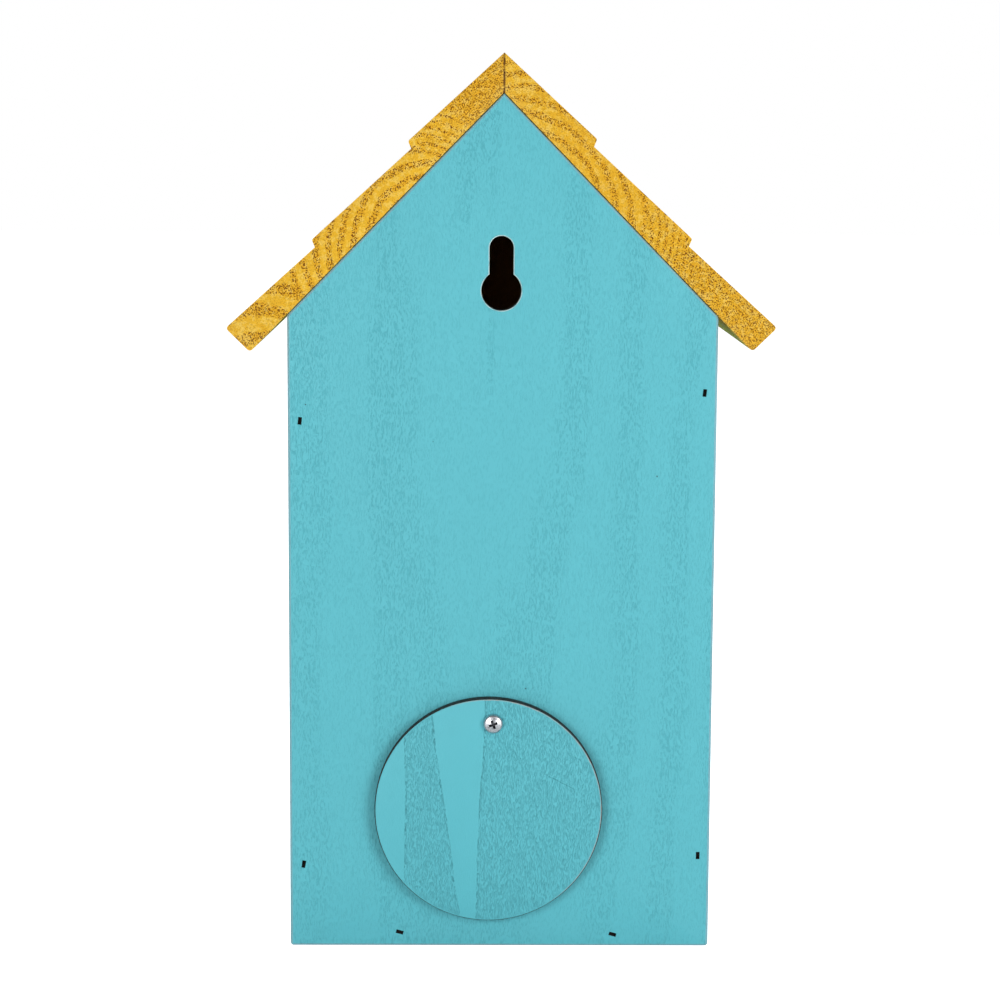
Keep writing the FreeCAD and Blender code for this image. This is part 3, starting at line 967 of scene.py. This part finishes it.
LASER_CHAR = Mottled((0.012, 0.011, 0.010), (0.030, 0.020, 0.014), (1400.0, 90.0, 1400.0), (0.4, 0.7), 0.75,
                     0.06 * MM)
# Pale mouths of the holes: partly rubbed paint, partly a painted highlight.
PALE_RIM = Mottled((0.55, 0.78, 0.79), (0.25, 0.54, 0.58), 420.0, (0.45, 0.7), 0.6, 0.03 * MM)
BRAD_STEEL = steel((0.030, 0.027, 0.025), (0.012, 0.010, 0.008), 0.65)
ZINC = steel((0.64, 0.66, 0.70), (0.30, 0.31, 0.33), 0.22)
# Painted shade: dark zinc for the walls and bottom of the cross recess.
RECESS_SHADE_ZINC = steel((0.110, 0.115, 0.130), (0.030, 0.030, 0.035), 0.25)


@dataclass(frozen=True)
class ScorchedArris:
    """The thin edge between paint and char: painted, and rubbed to pale wood round one side.

    Palest is the X and Z of the direction from the disc's middle to where it is palest.
    """

    tan: Colour = (0.32, 0.40, 0.40)
    painted: Colour = (0.085, 0.430, 0.495)
    palest: tuple[float, float] = (-0.88, 0.47)
    roughness: float = 0.7
    relief: float = 0.03 * MM

    def make(self, name: str, middle: Vector) -> Material:
        """Make the scorched finish.

        Args:
            name: the material's name.
            middle: the middle of the disc that the edge goes round.

        Returns:
            The material.
        """
        material, sheet, shader = start_material(name)
        place = sheet.coordinate()
        blotches = sheet.noise(place, 500.0)
        outward = sheet.vector("NORMALIZE", sheet.vector("SUBTRACT", place, tuple(middle)))
        toward = sheet.vector("DOT_PRODUCT", outward, (self.palest[0], 0.0, self.palest[1]), output=1)
        pale = sheet.times(sheet.remap(toward, 0.0, 0.4), sheet.remap(blotches, 0.3, 0.65, 1.0, 0.5))
        coat(sheet, shader, sheet.mix(pale, self.painted, self.tan), self.roughness, blotches, self.relief)
        return material


# ---- brads -----------------------------------------------------------------------------------------------


@dataclass(frozen=True)
class BradHead:
    """One brad's head: the middle of its top, the way out of the wood, and its wide and narrow half sizes."""

    top: Vector
    outward: Vector
    wide: Vector
    narrow: Vector


def read_heads(node: Piece, outward: Vector) -> list[BradHead]:
    """Find the head of every brad in a CAD node.

    Args:
        node: the CAD node, a group of separate brads.
        outward: the way that the heads face.

    Returns:
        One head for each brad.
    """
    mesh = bmesh.new()
    mesh.from_mesh(node.data)
    bmesh.ops.remove_doubles(mesh, verts=mesh.verts, dist=TOUCH / 10)
    loose = set(mesh.verts)
    heads = []
    while loose:
        reached = [loose.pop()]
        brad = list(reached)
        while reached:
            for edge in reached.pop().link_edges:
                for point in loose.intersection(edge.verts):
                    loose.remove(point)
                    reached.append(point)
                    brad.append(point)
        highest = max(point.co.dot(outward) for point in brad)
        corners = [point.co.copy() for point in brad if point.co.dot(outward) > highest - TOUCH]
        top = sum(corners, Vector()) / len(corners)
        sides = sorted((corner - corners[0] for corner in corners[1:]), key=lambda side: side.length)
        heads.append(BradHead(top, outward, sides[1] / 2, sides[0] / 2))
    mesh.free()
    return sorted(heads, key=lambda head: tuple(round(part, 5) for part in head.top))


@dataclass
class Brads:
    """Every brad, left as its CAD solid under a steel finish, and the slots above their heads.

    Ease is the free space round a head in its slot. Rise is where the middle of the slot's cutter is above the
    head, and reach how far the cutter goes each way from there.
    """

    finish: Mottled = BRAD_STEEL
    ease: float = 0.03 * MM
    rise: float = 1.0 * MM
    reach: float = 1.3 * MM
    heads: dict[str, list[BradHead]] = field(default_factory=dict)

    def read(self, nodes: dict[str, Piece]) -> None:
        """Find every head.

        Args:
            nodes: the CAD nodes by name.
        """
        facing = {"back": Y_AXIS, "front": -Y_AXIS, "left": -X_AXIS, "right": X_AXIS,
                  "roof_left": Vector((-math.sin(PITCH), 0, math.cos(PITCH))),
                  "roof_right": Vector((math.sin(PITCH), 0, math.cos(PITCH)))}
        for name, node in nodes.items():
            if name.endswith("_brads"):
                key = max((side for side in facing if name.startswith(side)), key=len)
                self.heads.setdefault(key, []).extend(read_heads(node, facing[key]))

    def sink(self, board: Piece, key: str) -> None:
        """Open the slots that the sunk brads leave in the face of a board.

        Args:
            board: the board.
            key: the name of its face among the heads.
        """
        for head in self.heads[key]:
            half = Vector((head.wide.length + self.ease, head.narrow.length + self.ease, self.reach))
            slot = add_block("slot", -half, half)
            wide, narrow = head.wide.normalized(), head.narrow.normalized()
            slot.rotation_euler = Matrix((wide, narrow, wide.cross(narrow))).transposed().to_euler()
            slot.location = head.top + head.outward * self.rise
            settle(slot)
            carve(board, slot)

    def dress(self, nodes: dict[str, Piece]) -> None:
        """Give the CAD brads their steel.

        Args:
            nodes: the CAD nodes by name.
        """
        material = self.finish.make("brad_steel")
        for name, node in nodes.items():
            if name.endswith("_brads"):
                node.data.materials.clear()
                node.data.materials.append(material)
                log.info("%s: CAD solids with a steel finish", name)


# ---- the box ---------------------------------------------------------------------------------------------


@dataclass
class Box:
    """Gable panels, side walls and floor."""

    brads: Brads
    effects: Effects
    char: Material
    paint: TurquoisePaint = TurquoisePaint()
    bare: BareWood = BareWood()
    # Pale hole mouths: rubbed paint with a painted highlight.
    rim: Mottled = PALE_RIM
    edge: float = 0.8 * MM
    inner_edge: float = 0.15 * MM
    mouth: float = 0.25 * MM
    fine_mouth: float = 0.1 * MM
    eye_height: float = 190.4 * MM
    eye_offset: float = 0.5 * MM
    eye_radius: float = 5.65 * MM
    slot_radius: float = 3.4 * MM
    slot_rise: float = 11.9 * MM
    cleanout_radius: float = 23.0 * MM
    cleanout_height: float = 39.5 * MM
    entrance_radius: float = 16.0 * MM
    entrance_height: float = 140.0 * MM
    entrance_mouth: float = 0.8 * MM
    drain_radius: float = 3.0 * MM
    drain_inset: float = 16.0 * MM
    pilot_radius: float = 1.0 * MM

    def build(self) -> None:
        """Make and dress all five boards."""
        self.build_panel("back", 1.0)
        self.build_panel("front", -1.0)
        for side in Side:
            self.build_wall(side)
        self.build_floor()

    def finish(self, board: Piece, node: str, grain: Log, inside: Test, cut: Test | None = None) -> None:
        """Paint a board outside, leave it bare inside and charred in its holes, and put it in place.

        Args:
            board: the shaped board.
            node: the CAD node that it stands for.
            grain: how its grain lies.
            inside: the test of its bare faces.
            cut: the test of its holes' walls, if it has holes.
        """
        finish_mesh(board)
        coats = [(self.paint.make(f"{board.name}_paint", grain, self.effects), None),
                 (self.bare.make(f"{board.name}_bare", grain, self.effects), inside)]
        if cut is not None:
            coats.append((self.rim.make(f"{board.name}_rims"), cut))
            coats.append((self.char, lambda place, normal: cut(place, normal) and abs(normal.y) < 0.3))
        dress(board, coats)
        mount(board, "root", "turquoise_paint", node)

    def build_panel(self, side: str, facing: float) -> None:
        """Make one gable panel.

        Args:
            side: back or front.
            facing: the sign of Y that its outer face looks to.
        """
        low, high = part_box(f"{side}_panel")
        outer, inner = (high.y, low.y) if facing > 0 else (low.y, high.y)
        panel = add_block(f"{side}_panel_board", low, high)
        for sign in (-1, 1):
            slice_off(panel, Vector((0, 0, high.z)), Vector((sign * math.sin(PITCH), 0, math.cos(PITCH))))
        ease_edges(panel, lambda place, way: abs(way.y) > 0.9 and place.z < high.z - MM, self.edge)
        ease_edges(panel, at_depth(outer), self.edge)
        ease_edges(panel, at_depth(inner), self.inner_edge, 1)
        for centre, radius, mouth, stretch in self.holes(side):
            start = Vector((centre.x, outer, centre.z))
            drill(panel, start, start + Vector((0, inner - outer, 0)), radius, mouth, stretch)
        self.brads.sink(panel, side)
        rim = 2 * MM

        def cut(place: Vector, normal: Vector) -> bool:
            """The walls of the holes, away from the board's outline."""
            return (abs(normal.y) < 0.9 and abs(place.x) < abs(low.x) - rim and place.z > rim
                    and high.z - place.z - abs(place.x) * math.tan(PITCH) > rim)

        grain = Log(Grain.UPRIGHT, (12 * MM * facing, inner - 50 * MM * facing, 0.0), (0.03, 0.02, 0.0),
                    ring_width=11 * MM, fibre=0.3 * MM, dash=4.5)
        self.finish(panel, f"{side}_panel", grain, lambda place, normal: normal.y * facing < -0.7, cut)

    def holes(self, side: str) -> list[tuple[Vector, float, float, float]]:
        """List the holes of a panel.

        Args:
            side: back or front.

        Returns:
            Each hole's centre, radius, eased mouth and stretch. The back has the keyhole's eye and slot, the
            clean-out hole and the screw's pilot hole, and the front has the entrance and the perch's hole.
        """
        if side == "front":
            low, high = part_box("perch")
            return [(Vector((0, 0, self.entrance_height)), self.entrance_radius, self.entrance_mouth, 0.0),
                    ((low + high) / 2, (high.x - low.x) / 2, self.fine_mouth, 0.0)]
        screw = sum(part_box("cover_screw"), Vector()) / 2
        eye = Vector((self.eye_offset, 0, self.eye_height))
        return [(eye, self.eye_radius, self.mouth, 0.0), (eye, self.slot_radius, self.mouth, self.slot_rise),
                (Vector((screw.x, 0, self.cleanout_height)), self.cleanout_radius, self.mouth, 0.0),
                (screw, self.pilot_radius, self.fine_mouth, 0.0)]

    def build_wall(self, side: Side) -> None:
        """Make one side wall, its top bevelled to the roof.

        Args:
            side: which wall.
        """
        name, sign = side.name.lower(), side.value
        low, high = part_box(f"{name}_wall")
        wall = add_block(f"{name}_wall_board", low, high)
        inner = min(low.x, high.x, key=abs)
        slice_off(wall, Vector((inner, 0, high.z)), Vector((sign * math.sin(PITCH), 0, math.cos(PITCH))))
        ease_edges(wall, lambda place, way: abs(way.y) > 0.9, self.inner_edge * 2, 2)
        self.brads.sink(wall, name)
        grain = Log(Grain.UPRIGHT, (inner - 60 * MM * sign, 15 * MM * sign, 0.0), (0.02, 0.03, 0.0),
                    ring_width=11 * MM, fibre=0.3 * MM, dash=4.5)
        self.finish(wall, f"{name}_wall", grain, lambda place, normal: normal.x * sign < -0.6 or normal.z > 0.6)

    def build_floor(self) -> None:
        """Make the floor with its four drain holes."""
        low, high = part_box("floor_board")
        floor = add_block("floor_plank", low, high)
        across, along = high.x - self.drain_inset, high.y - self.drain_inset
        for x, y in ((-across, -along), (-across, along), (across, -along), (across, along)):
            drill(floor, Vector((x, y, low.z)), Vector((x, y, high.z)), self.drain_radius, self.mouth)
        ease_edges(floor, lambda place, way: abs(place.z - low.z) < TOUCH and (
            abs(abs(place.x) - high.x) < TOUCH or abs(abs(place.y) - high.y) < TOUCH), self.inner_edge, 1)
        grain = Log(Grain.ACROSS, (0.0, 20 * MM, -70 * MM), ring_width=6 * MM)
        self.finish(floor, "floor_board", grain, lambda place, normal: normal.z > 0.6)


# ---- roof ------------------------------------------------------------------------------------------------


@dataclass
class Roof:
    """Two boards, three clapboard courses cut in each, mitred along the ridge."""

    brads: Brads
    effects: Effects
    stain: YellowStain = YellowStain()
    slope_length: float = 100.6 * MM
    ridge_thickness: float = 7.6 * MM
    tip_thickness: float = 9.6 * MM
    root_thickness: float = 7.5 * MM
    lips: tuple[float, float] = (27.3 * MM, 65.8 * MM)
    right_extra: float = 1.1 * MM
    past_ridge: float = 14.0 * MM
    lip_lean: float = 0.9 * MM
    lip_edge: float = 0.5 * MM
    eave_edge: float = 1.0 * MM
    end_edge: float = 0.35 * MM
    ridge_gap: float = 0.03 * MM
    glue_line: float = 0.12 * MM
    staves: dict[Side, tuple[Stave, ...]] = field(default_factory=lambda: {
        Side.RIGHT: (Stave(-20 * MM, 5 * MM, -30 * MM, 2.0 * MM, 0.75),
                     Stave(14 * MM, 43.3 * MM, -11.6 * MM, 2.0 * MM, 0.2),
                     Stave(27 * MM, 43.3 * MM, -11.6 * MM, 3.7 * MM, 0.0),
                     Stave(79.8 * MM, 111 * MM, -15 * MM, 6.5 * MM, 0.1)),
        Side.LEFT: (Stave(-20 * MM, 27.7 * MM, -23.5 * MM, 3.6 * MM, 0.12),
                    Stave(53 * MM, 27.7 * MM, -23.5 * MM, 2.1 * MM, 0.25),
                    Stave(65.6 * MM, 88 * MM, 22 * MM, 2.4 * MM, 0.62)),
    })

    def build(self) -> None:
        """Make and dress both boards."""
        _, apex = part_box("back_panel")
        for side in Side:
            board = self.cut_board(side, apex.z)
            tilt = side.value * PITCH
            grain = GluedBoard(ridge=(0.0, 0.0, apex.z), tilt=tilt, downhill=float(side.value),
                               staves=self.staves[side])
            dress(board, [(self.stain.make(f"{board.name}_stain", grain, self.effects, tilt), None)])
            mount(board, "root", "yellow_stain", f"roof_{side.name.lower()}")

    def cut_board(self, side: Side, apex: float) -> Piece:
        """Make one board: shaped level with the apex at the origin, then tipped to the pitch.

        Args:
            side: which board.
            apex: how high the gables' apex is.

        Returns:
            The board in its place.
        """
        name, sign = f"roof_{side.name.lower()}", side.value
        low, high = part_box(name)
        extra = self.right_extra if side is Side.RIGHT else 0.0
        eave, *lips = (along + extra for along in (self.slope_length, *self.lips))
        left, right = sorted((-sign * self.past_ridge, sign * eave))
        board = add_block(f"{name}_board", Vector((left, low.y, 0)),
                          Vector((right, high.y, self.tip_thickness)))
        self.cut_courses(board, sign, lips, eave)
        board.rotation_euler = Euler((0, sign * PITCH, 0))
        board.location = Vector((sign * self.ridge_gap / 2, 0, apex + self.glue_line / math.cos(PITCH)))
        settle(board)
        slice_off(board, Vector((sign * self.ridge_gap / 2, 0, 0)), -sign * X_AXIS)
        ease_edges(board, lambda place, way: min(abs(place.y - low.y), abs(place.y - high.y)) < TOUCH,
                   self.end_edge, 2)
        self.brads.sink(board, name)
        finish_mesh(board)
        return board

    def cut_courses(self, board: Piece, sign: int, lips: list[float], eave: float) -> None:
        """Score the top along each lip, and plane the courses down behind it.

        Args:
            board: the level blank.
            sign: the sign of X that points down the slope.
            lips: how far down the slope each lip lies.
            eave: how far down the slope the board ends.
        """
        top = self.tip_thickness
        drops = {lip + self.lip_lean: self.root_thickness - top for lip in lips}
        rise = (top - self.ridge_thickness) / (lips[0] + self.ridge_thickness * math.tan(PITCH))
        drops[-self.past_ridge] = -rise * (lips[0] + self.past_ridge)
        for lip in lips:
            score(board, Vector((sign * lip, 0, 0)), X_AXIS)
            score(board, Vector((sign * (lip + self.lip_lean), 0, 0)), X_AXIS)
        for along, drop in drops.items():
            with editing(board, Element.POINT, lambda place, normal: place.z > top / 2
                         and abs(place.x - sign * along) < TOUCH):
                bpy.ops.transform.translate(value=(0, 0, drop))
        for along, up, radius in (*((lip, top, self.lip_edge) for lip in lips), (eave, top, self.eave_edge),
                                  (eave, 0.0, self.eave_edge)):
            ease_edges(board, lambda place, way: abs(way.y) > 0.99 and abs(place.x - sign * along) < TOUCH
                       and abs(place.z - up) < TOUCH, radius)


# ---- perch, cover and screw ------------------------------------------------------------------------------


@dataclass
class Perch:
    """A dowel glued through the front panel."""

    effects: Effects
    stain: YellowStain = YellowStain()
    rounding: float = 1.5 * MM
    inner_edge: float = 0.15 * MM

    def build(self) -> None:
        """Make and dress the perch."""
        low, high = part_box("perch")
        middle = (low + high) / 2
        dowel = add_rod("perch_dowel", (high.x - low.x) / 2, Vector((middle.x, high.y, middle.z)),
                        Vector((middle.x, low.y, middle.z)), 64)
        ease_edges(dowel, at_depth(low.y), self.rounding, 6)
        ease_edges(dowel, at_depth(high.y), self.inner_edge, 1)
        finish_mesh(dowel, 40.0)
        grain = Log(Grain.FORE_AND_AFT, (20 * MM, 0.0, 90 * MM), ring_width=2.2 * MM, fibre=0.3 * MM, dash=14.0)
        dress(dowel, [(self.stain.make("perch_stain", grain, self.effects), None)])
        mount(dowel, "root", "yellow_stain", "perch")


@dataclass
class Cover:
    """The disc that turns over the clean-out hole."""

    effects: Effects
    char: Material
    paint: TurquoisePaint = TurquoisePaint(plain=0.14, relief=0.09 * MM)
    bare: BareWood = BareWood()
    arris: ScorchedArris = ScorchedArris()
    rim_edge: float = 0.5 * MM
    bore_radius: float = 1.48 * MM
    bore_mouth: float = 0.1 * MM

    def build(self) -> None:
        """Cut the disc, bore it for the screw and char its rim."""
        low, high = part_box("cleanout_cover")
        middle = (low + high) / 2
        radius = (high.x - low.x) / 2
        disc = add_rod("cover_disc", radius, Vector((middle.x, low.y, middle.z)),
                       Vector((middle.x, high.y, middle.z)), 192)
        ease_edges(disc, lambda place, way: abs(way.y) < 0.1, self.rim_edge)
        screw = sum(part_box("cover_screw"), Vector()) / 2
        drill(disc, Vector((screw.x, low.y, screw.z)), Vector((screw.x, high.y, screw.z)), self.bore_radius,
              self.bore_mouth)
        finish_mesh(disc, 25.0)
        grain = Log(Grain.UPRIGHT, (12.5 * MM, low.y - 60 * MM, middle.z), ring_width=9 * MM, wander=1.2 * MM,
                    fibre=0.14 * MM, dash=8.0)
        streaks = (Streak(middle.x + 18.4 * MM, 6.1 * MM, middle.z, 0.07, 0.065),
                   Streak(middle.x - 25.4 * MM, 28.0 * MM, middle.z, 0.03, 0.0))
        scratch = Scratch((-17.2 * MM, high.y, middle.z + 8.5 * MM), math.radians(-27), 11 * MM, 0.16 * MM)

        def on_rim(place: Vector) -> bool:
            """Whether a face is in or beside the disc's rim."""
            return math.hypot(place.x - middle.x, place.z - middle.z) > radius - 2 * self.rim_edge

        dress(disc, [
            (self.paint.make("cover_paint", grain, self.effects, streaks, scratch), None),
            (self.bare.make("cover_bare", grain, self.effects), lambda place, normal: normal.y < -0.95),
            # Char also covers the two outer facets of the eased rim: this dark outer line is partly char,
            # partly painted shade.
            (self.char, lambda place, normal: abs(normal.y) < 0.8 or (normal.y < 0 and on_rim(place))),
            (self.arris.make("cover_arris", middle),
             lambda place, normal: 0.8 <= normal.y < 0.99 and on_rim(place)),
        ])
        mount(disc, "cover", "cover_paint", "cleanout_cover")


@dataclass
class Screw:
    """The pan-head screw with a cross recess that the cover turns on."""

    zinc: Mottled = ZINC
    shadowed: Mottled = RECESS_SHADE_ZINC
    head_radius: float = 2.8 * MM
    head_height: float = 1.9 * MM
    head_crown: float = 0.35 * MM
    head_rounding: float = 1.0 * MM
    head_underside: float = 0.12 * MM
    shank_radius: float = 1.42 * MM
    core_radius: float = 1.0 * MM
    smooth_length: float = 3.8 * MM
    thread_pitch: float = 1.1 * MM
    point_length: float = 2.0 * MM
    recess_span: float = 3.9 * MM
    recess_arm: float = 0.9 * MM
    recess_depth: float = 1.25 * MM
    recess_turn: float = math.radians(22)
    arc_steps: int = 6
    turning_steps: int = 64

    def build(self) -> None:
        """Turn the screw from its profile, press the cross recess into its head and plate it."""
        low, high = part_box("cover_screw")
        pivot = (low + high) / 2
        seat = high.y - self.head_height
        screw = self.turn(self.profile(low.y, seat, high.y), pivot)
        self.press_recess(screw, Vector((pivot.x, high.y, pivot.z)))
        finish_mesh(screw, 35.0)

        def in_recess(place: Vector, normal: Vector) -> bool:
            """The walls and bottom of the cross recess."""
            return (math.hypot(place.x - pivot.x, place.z - pivot.z) < self.recess_span / 2
                    and place.y > seat and (normal.y < 0.9 or place.y < high.y - self.recess_depth / 2))

        # The cross recess takes painted shade.
        dress(screw, [(self.zinc.make("zinc_plate"), None), (self.shadowed.make("recess_shade_zinc"), in_recess)])
        mount(screw, "root", "zinc_steel", "cover_screw")

    def profile(self, tip: float, seat: float, top: float) -> list[tuple[float, float]]:
        """The screw's outline as radius and Y, from the head's middle to the tip.

        Args:
            tip: Y of the point.
            seat: Y of the head's underside.
            top: Y of the head's top.

        Returns:
            The outline's points, the dome and the head's side as arcs.
        """
        points = [(0.0, top)]
        dome_radius = self.head_radius - self.head_rounding
        shares = [step / self.arc_steps for step in range(1, self.arc_steps + 1)]
        points += [(dome_radius * share, top - self.head_crown * share ** 2) for share in shares]
        for angle in (math.pi / 2 * share for share in shares):
            points.append((dome_radius + self.head_rounding * math.sin(angle),
                           top - self.head_crown - self.head_rounding * (1 - math.cos(angle))))
        thread_start, thread_end = seat - self.smooth_length, tip + self.point_length
        points += [(self.head_radius, seat + self.head_underside),
                   (self.head_radius - self.head_underside, seat),
                   (self.shank_radius, seat), (self.shank_radius, thread_start)]
        for turn in range(int((thread_start - thread_end) / self.thread_pitch)):
            start = thread_start - (turn + 0.4) * self.thread_pitch
            points += [(self.core_radius, start), (self.shank_radius, start - 0.2 * self.thread_pitch),
                       (self.core_radius, start - 0.4 * self.thread_pitch)]
        return points + [(self.core_radius, thread_end), (0.0, tip)]

    def turn(self, profile: list[tuple[float, float]], pivot: Vector) -> Piece:
        """Spin an outline round the screw's axis.

        Args:
            profile: the outline as radius and Y.
            pivot: a point on the axis.

        Returns:
            The turned piece.
        """
        corner = Vector((-0.05 * MM, 0.05 * MM, 0))
        bpy.ops.object.select_all(action="DESELECT")
        bpy.ops.mesh.primitive_plane_add(size=2 * corner.y, location=(0, 0, 0))
        screw = bpy.context.active_object
        screw.name = "pan_head_screw"
        with editing(screw, Element.POINT, lambda place, normal: place.x > 0 or place.y < 0):
            bpy.ops.mesh.delete(type="VERT")
            bpy.ops.mesh.select_all(action="SELECT")
            bpy.ops.transform.translate(value=Vector((pivot.x, profile[0][1], pivot.z)) - corner)
            for (radius, y), (last_radius, last_y) in zip(profile[1:], profile):
                bpy.ops.mesh.extrude_region_move(
                    TRANSFORM_OT_translate={"value": (radius - last_radius, y - last_y, 0)})
            bpy.ops.mesh.select_all(action="SELECT")
            bpy.ops.mesh.spin(steps=self.turning_steps, angle=2 * math.pi, center=(pivot.x, 0, pivot.z),
                              axis=(0, 1, 0))
            bpy.ops.mesh.select_all(action="SELECT")
            bpy.ops.mesh.remove_doubles(threshold=TOUCH / 2)
            bpy.ops.mesh.normals_make_consistent(inside=False)
        return screw

    def press_recess(self, screw: Piece, top: Vector) -> None:
        """Press a cross recess, narrower towards its bottom, into the head.

        Args:
            screw: the turned screw.
            top: the middle of the head's top.
        """
        half = Vector((self.recess_span / 2, 0, self.recess_arm / 2))
        for quarter in range(2):
            arm = add_block("arm", Vector((-half.x, -self.recess_depth, -half.z)), Vector((half.x, MM, half.z)))
            with editing(arm, Element.FACE, lambda place, normal: normal.y < -0.9):
                bpy.ops.transform.resize(value=(0.35, 1.0, 0.6), center_override=(0.0, -self.recess_depth, 0.0))
            arm.rotation_euler = Euler((0, self.recess_turn + quarter * math.pi / 2, 0))
            arm.location = top
            settle(arm)
            carve(screw, arm)


# ---- studio ----------------------------------------------------------------------------------------------


@dataclass(frozen=True)
class Softbox:
    """A large soft lamp, placed by its bearing from the back of the house, its height angle and distance."""

    name: str
    bearing: float
    height: float
    width: float
    power: float
    tall: float = 0.9
    distance: float = 1.3

    def hang(self, target: Vector) -> None:
        """Hang the lamp and point it at a target.

        Args:
            target: where it points.
        """
        lamp = bpy.data.lights.new(self.name, "AREA")
        lamp.shape = "RECTANGLE"
        lamp.size = self.width
        lamp.size_y = self.tall
        lamp.energy = self.power
        bearing, height = math.radians(self.bearing), math.radians(self.height)
        way = Vector((math.sin(bearing) * math.cos(height), math.cos(bearing) * math.cos(height),
                      math.sin(height)))
        holder = bpy.data.objects.new(self.name, lamp)
        holder.location = target + way * self.distance
        holder.rotation_euler = (-way).to_track_quat("-Z", "Y").to_euler()
        bpy.context.scene.collection.objects.link(holder)


@dataclass
class Studio:
    """A pale floor, soft lamps on all sides, and the camera behind the birdhouse."""

    floor_size: float = 12.0
    floor_grey: float = 0.75
    floor_glow: float = 1.0
    focal_length: float = 91.17
    sensor: float = 36.0
    distance: float = 719.1 * MM
    look_down: float = math.radians(7.954)
    swing: float = math.radians(0.78)
    roll: float = math.radians(0.33)
    aim_height: float = 131.05 * MM
    aim_across: float = 0.56 * MM
    world_light: float = 0.18
    lamps: tuple[Softbox, ...] = (
        Softbox("right_softbox", -37.0, 5.0, 0.6, 10.4),
        Softbox("left_softbox", 29.0, 5.0, 0.6, 9.3),
        Softbox("front_right_softbox", -118.0, 28.0, 0.9, 13.0),
        Softbox("front_left_softbox", 122.0, 22.0, 0.9, 10.0),
    )

    def build(self) -> None:
        """Set the floor, the lamps and the camera."""
        self.lay_floor()
        self.light()
        self.set_camera()
        bpy.context.scene.view_settings.view_transform = "Standard"

    def lay_floor(self) -> None:
        """Lay a plain pale floor, far wider than the birdhouse, that comes out white."""
        bpy.ops.object.select_all(action="DESELECT")
        bpy.ops.mesh.primitive_plane_add(size=self.floor_size, location=(0, 0, 0))
        floor = bpy.context.active_object
        floor.name = "studio_floor"
        material, sheet, shader = start_material("studio_floor_white")
        seen = sheet.add("ShaderNodeLightPath").outputs["Is Camera Ray"]
        finish = {"Base Color": (self.floor_grey,) * 3, "Roughness": 0.9, "Emission Color": (1.0, 1.0, 1.0),
                  "Emission Strength": sheet.times(seen, self.floor_glow)}
        for key, value in finish.items():
            sheet.feed(shader.inputs[key], value)
        floor.data.materials.append(material)

    def light(self) -> None:
        """Set a dim surround that looks white, and the soft lamps."""
        world = bpy.data.worlds.new("studio_world")
        world.use_nodes = True
        sheet = Sheet(world.node_tree)
        seen = sheet.add("ShaderNodeLightPath").outputs["Is Camera Ray"]
        strength = sheet.math("MULTIPLY_ADD", seen, 1.0 - self.world_light, self.world_light)
        surround = sheet.add("ShaderNodeBackground", {"Color": (1.0, 1.0, 1.0), "Strength": strength})
        sheet.add("ShaderNodeOutputWorld", {"Surface": surround.outputs[0]})
        bpy.context.scene.world = world
        for lamp in self.lamps:
            lamp.hang(Vector((0, 0, self.aim_height)))

    def set_camera(self) -> None:
        """Stand the camera behind the house, aimed near the middle of the back panel."""
        _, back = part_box("back_panel")
        aim = Vector((self.aim_across, back.y, self.aim_height))
        level = self.distance * math.cos(self.look_down)
        offset = Vector((level * math.sin(self.swing), level * math.cos(self.swing),
                         self.distance * math.sin(self.look_down)))
        lens = bpy.data.cameras.new("studio_camera")
        lens.lens = self.focal_length
        lens.sensor_width = self.sensor
        camera = bpy.data.objects.new("studio_camera", lens)
        camera.location = aim + offset
        camera.rotation_euler = (-offset).to_track_quat("-Z", "Y").to_euler()
        camera.rotation_euler.rotate_axis("Z", self.roll)
        bpy.context.scene.collection.objects.link(camera)
        bpy.context.scene.camera = camera


def main() -> None:
    """Build the birdhouse's looks round its frame."""
    logging.basicConfig(level=logging.INFO, format="%(name)s: %(message)s")
    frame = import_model()
    nodes = frame["nodes"]
    effects = Effects(build_wood_figure(), build_eased_edge(), build_specks())
    char = LASER_CHAR.make("laser_char")
    brads = Brads()
    brads.read(nodes)
    Studio().build()
    for assembly in (Box(brads, effects, char), Roof(brads, effects), Perch(effects), Cover(effects, char),
                     Screw()):
        assembly.build()
    brads.dress(nodes)


if __name__ == "__main__":
    main()
